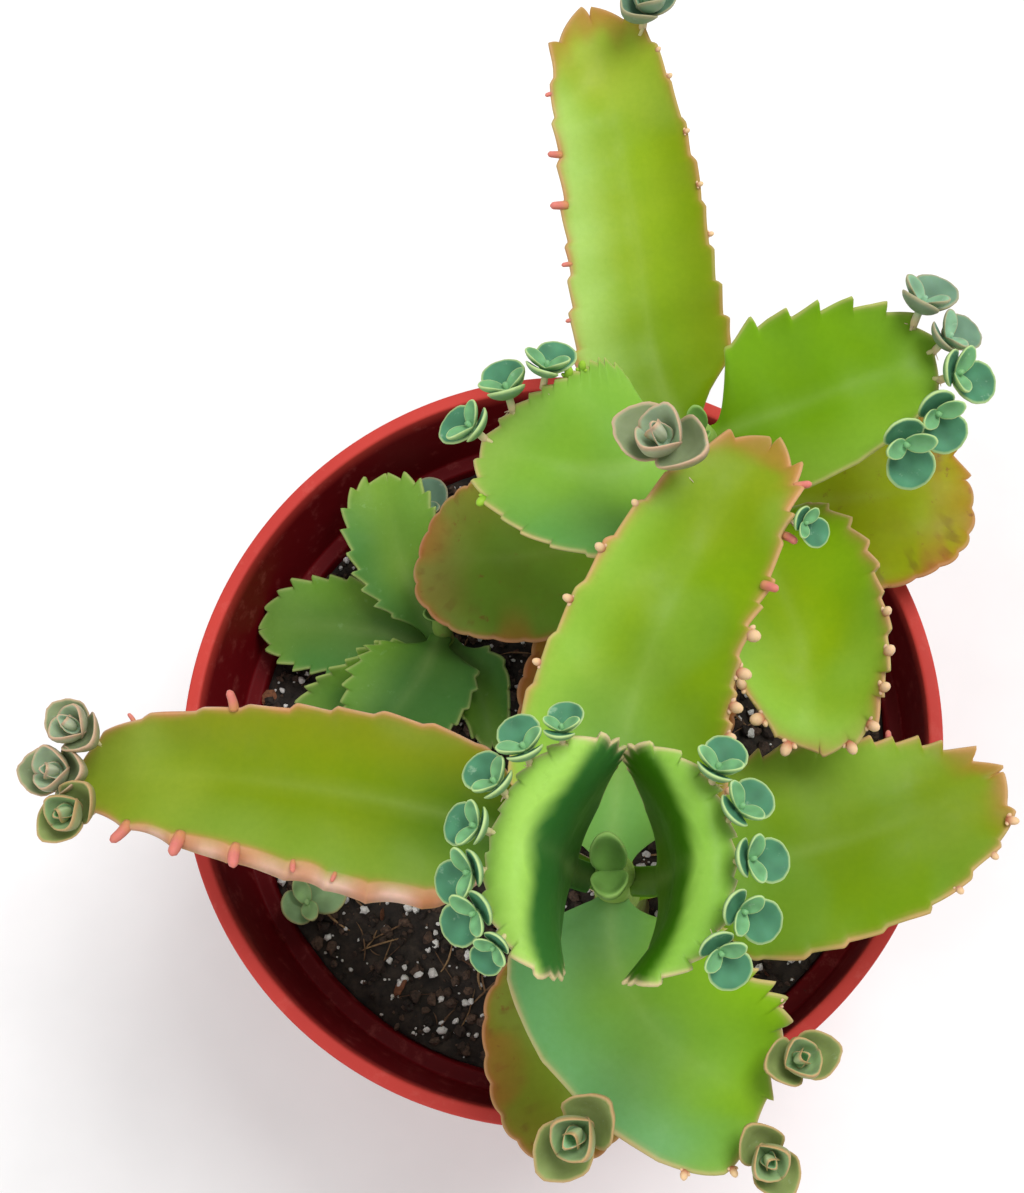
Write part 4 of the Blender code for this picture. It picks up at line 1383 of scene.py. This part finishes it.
def make_fibres(materials):
    """Twigs, roots and bark fibres on the soil."""
    rng = np.random.default_rng(31)
    build = Build()
    for x, y in scatter(rng, 150, FIBRE_REACH):
        length = rng.uniform(2, 10)
        heading = rng.uniform(0, 2 * np.pi)
        bend = rng.normal() * 0.25
        t = np.linspace(-0.5, 0.5, 12)
        px = x + length * (t * np.cos(heading) - bend * t**2 * np.sin(heading))
        py = y + length * (t * np.sin(heading) + bend * t**2 * np.cos(heading))
        pz = soil_height(px, py) + 0.5 + 0.8 * rng.random() * np.cos(t * 3)
        thick = rng.uniform(0.1, 0.32)
        colour = blend(rgb(92, 66, 48), rgb(176, 144, 104), np.array([rng.random() ** 2]))[0]
        if (np.hypot(px, py) < FIBRE_LIMIT).all():
            radii = thick * np.interp(t, [-0.5, 0, 0.5], [0.6, 1, 0.4])
            add_tube(build, np.column_stack([px, py, pz]), radii, colour, sides=6)
    build.piece("soil_fibres", materials["bark"], ["soil"])


# Pot


def rounded(profile, radius, steps=5):
    """An open outline of (radius, height) points with its corners rounded."""
    profile = [np.array(point, float) for point in profile]
    made = [profile[0]]
    for before, corner, after in zip(profile, profile[1:], profile[2:]):
        to_before, to_after = before - corner, after - corner
        cut = min(radius, 0.45 * np.linalg.norm(to_before), 0.45 * np.linalg.norm(to_after))
        start = corner + unit(to_before) * cut
        end = corner + unit(to_after) * cut
        for share in np.linspace(0, 1, steps):
            left = 1 - share
            made.append(left**2 * start + 2 * share * left * corner + share**2 * end)
    made.append(profile[-1])
    return np.array(made)


def pot_outline():
    """The pot's outline from the middle of its floor, up the inside and down the outside."""
    collar_foot = POT_HEIGHT - COLLAR_HEIGHT
    inner_low = BASE_RADIUS - WALL
    inner_high = SHOULDER_RADIUS - WALL
    inside = [
        (0.0, FLOOR_THICKNESS), (inner_low, FLOOR_THICKNESS), (inner_high, LEDGE_HEIGHT),
        (LEDGE_OUTER_RADIUS, LEDGE_HEIGHT), (RIM_RADIUS - LIP_WIDTH, POT_HEIGHT),
    ]
    outside = [
        (RIM_RADIUS, POT_HEIGHT), (RIM_RADIUS - 0.25, POT_HEIGHT - 3.2),
        (RIM_RADIUS - 0.75, POT_HEIGHT - 3.8), (COLLAR_FOOT_RADIUS, collar_foot),
        (SHOULDER_RADIUS, collar_foot - 1.5), (BASE_RADIUS + 1.2, 3.4), (BASE_RADIUS, 2.6),
        (BASE_RADIUS, 0.0), (BASE_RADIUS - 2.6, 0.0), (BASE_RADIUS - 3.4, 0.0), (0.0, 0.0),
    ]
    return rounded(inside + outside, 0.7)


def resample(outline, longest):
    """The outline with points added so that no stretch is longer than a limit."""
    made = [outline[0]]
    for point in outline[1:]:
        count = max(int(np.ceil(np.linalg.norm(point - made[-1]) / longest)), 1)
        start = made[-1]
        made += [start + (point - start) * i / count for i in range(1, count + 1)]
    return np.array(made)


def make_pot(materials):
    """The nursery pot."""
    outline = resample(pot_outline(), 4.0)
    sides = 288
    angle = round_angles(sides)
    radius, height = outline[:, :1], outline[:, 1:]
    x = radius * np.cos(angle)
    y = radius * np.sin(angle)
    z = height * np.ones(sides)
    points = np.column_stack([x.ravel(), y.ravel(), z.ravel()])
    # Painted shade: the inner side of the pot is tinted a darker red than the outside
    inside = np.arange(len(outline)) < len(outline) * 0.42
    face = blend(rgb(172, 44, 38), rgb(104, 9, 16), inside.astype(float))
    # Painted highlight: a lighter band round the top of the rim
    lip = np.exp(-(((outline[:, 1] - POT_HEIGHT) / 1.2) ** 2))
    face = blend(face, rgb(196, 66, 58), lip)
    tint = np.repeat(face, sides, axis=0)
    build = Build()
    build.add(points, grid_faces(len(outline), sides, closed=True), tint)
    pot = build.piece("pot_shell", materials["pot"], ["pot"])
    cut_drains(pot)

def cut_drains(pot):
    """Cuts the drain holes through the pot's floor."""
    sides = 40
    ways = round_angles(sides)
    ring = DRAIN_RADIUS * np.column_stack([np.cos(ways), np.sin(ways), 0 * ways])
    low, high = [0, 0, -2.0], [0, 0, FLOOR_THICKNESS + 2.0]
    drum = np.concatenate([ring * 0 + low, ring + low, ring + high, ring * 0 + high])
    faces = [list(dict.fromkeys(f)) for f in grid_faces(4, sides, closed=True).tolist()]
    cutters = []
    for index, angle in enumerate(round_angles(DRAIN_HOLES)):
        mesh = bpy.data.meshes.new("drain")
        points = drum + DRAIN_RING_RADIUS * level_way(angle)
        mesh.from_pydata((points * MM).tolist(), [], faces)
        cutter = placed("drain", mesh)
        cutters.append(cutter)
        cutter.modifiers.new("weld", "WELD").merge_threshold = 1e-6
        hole = pot.modifiers.new(f"drain {index}", "BOOLEAN")
        hole.operation = "DIFFERENCE"
        hole.solver = "EXACT"
        hole.object = cutter
    bpy.context.view_layer.update()
    graph = bpy.context.evaluated_depsgraph_get()
    cut = bpy.data.meshes.new_from_object(pot.evaluated_get(graph))
    pot.modifiers.clear()
    pot.data = cut
    for cutter in cutters:
        bpy.data.objects.remove(cutter, do_unlink=True)


# Stage


def make_floor():
    """A plain pale floor."""
    paint = Paint("floor_paper")
    grain = paint.remap(paint.noise(40.0), 0.3, 0.7, 0.0, 1.0)
    base = paint.mix(grain, (0.9, 0.9, 0.9), (0.93, 0.93, 0.93))
    paint.links.new(base, paint.shader.inputs["Base Color"])
    paint.shader.inputs["Roughness"].default_value = 0.9
    mesh = bpy.data.meshes.new("floor")
    reach = 3.0
    corners = [(-reach, -reach, 0), (reach, -reach, 0), (reach, reach, 0), (-reach, reach, 0)]
    mesh.from_pydata(corners, [], [(0, 1, 2, 3)])
    mesh.materials.append(paint.material)
    placed("floor", mesh)


def add_area(name, place, size, power):
    """A square soft white light, aimed at the plant."""
    light = bpy.data.lights.new(name, "AREA")
    light.shape = "SQUARE"
    light.size = size
    light.energy = power
    obj = placed(name, light)
    obj.location = place
    way = Vector((0, 0, 0.1)) - Vector(place)
    obj.rotation_euler = way.to_track_quat("-Z", "Y").to_euler()


def make_lights():
    """Soft light from all round, and a broad window light from above."""
    world = bpy.data.worlds.new("studio")
    world.use_nodes = True
    sky = world.node_tree.nodes["Background"]
    sky.inputs["Color"].default_value = (1.0, 1.0, 1.0, 1.0)
    sky.inputs["Strength"].default_value = WORLD_STRENGTH
    bpy.context.scene.world = world
    add_area("window", (0.45, 0.35, 1.1), 0.6, WINDOW_POWER)
    add_area("fill", (-0.6, -0.5, 0.9), 0.8, FILL_POWER)


def make_camera():
    """The photograph's view: from high up, tipped a little off the vertical."""
    tip, turn = np.radians([CAMERA_TIP, CAMERA_TURN])
    ahead = Vector((np.sin(tip) * np.cos(turn), np.sin(tip) * np.sin(turn), -np.cos(tip)))
    right = ahead.cross(Vector((0, 1, 0))).normalized()
    up = right.cross(ahead)
    data = bpy.data.cameras.new("camera")
    data.sensor_fit = "HORIZONTAL"
    data.sensor_width = SENSOR_WIDTH
    data.lens = FOCAL_PIXELS / PHOTO_WIDTH * SENSOR_WIDTH
    data.clip_start = 0.01
    camera = placed("camera", data)
    aim = Matrix((right, up, -ahead)).transposed().to_4x4()
    camera.matrix_world = Matrix.Translation(CAMERA_PLACE) @ aim
    bpy.context.scene.camera = camera


def main():
    """Makes the stage and every piece."""
    bpy.context.scene.view_settings.view_transform = "Standard"
    make_camera()
    make_lights()
    make_floor()
    materials = make_materials()
    make_pot(materials)
    make_soil(materials)
    for name in LOOSE:
        make_grains(name, materials)
    make_fibres(materials)
    for index, name in enumerate(STEMS):
        make_stem(name, materials, 700 + index)
    for index, name in enumerate(LEAVES):
        make_leaf(name, materials, 100 + 20 * index)
    for index, name in enumerate(PLANTLETS):
        make_plantlet(name, materials, 900 + 40 * index)
    for index, name in enumerate(SEEDLINGS):
        make_seedling(name, materials, 3000 + 40 * index)


main()
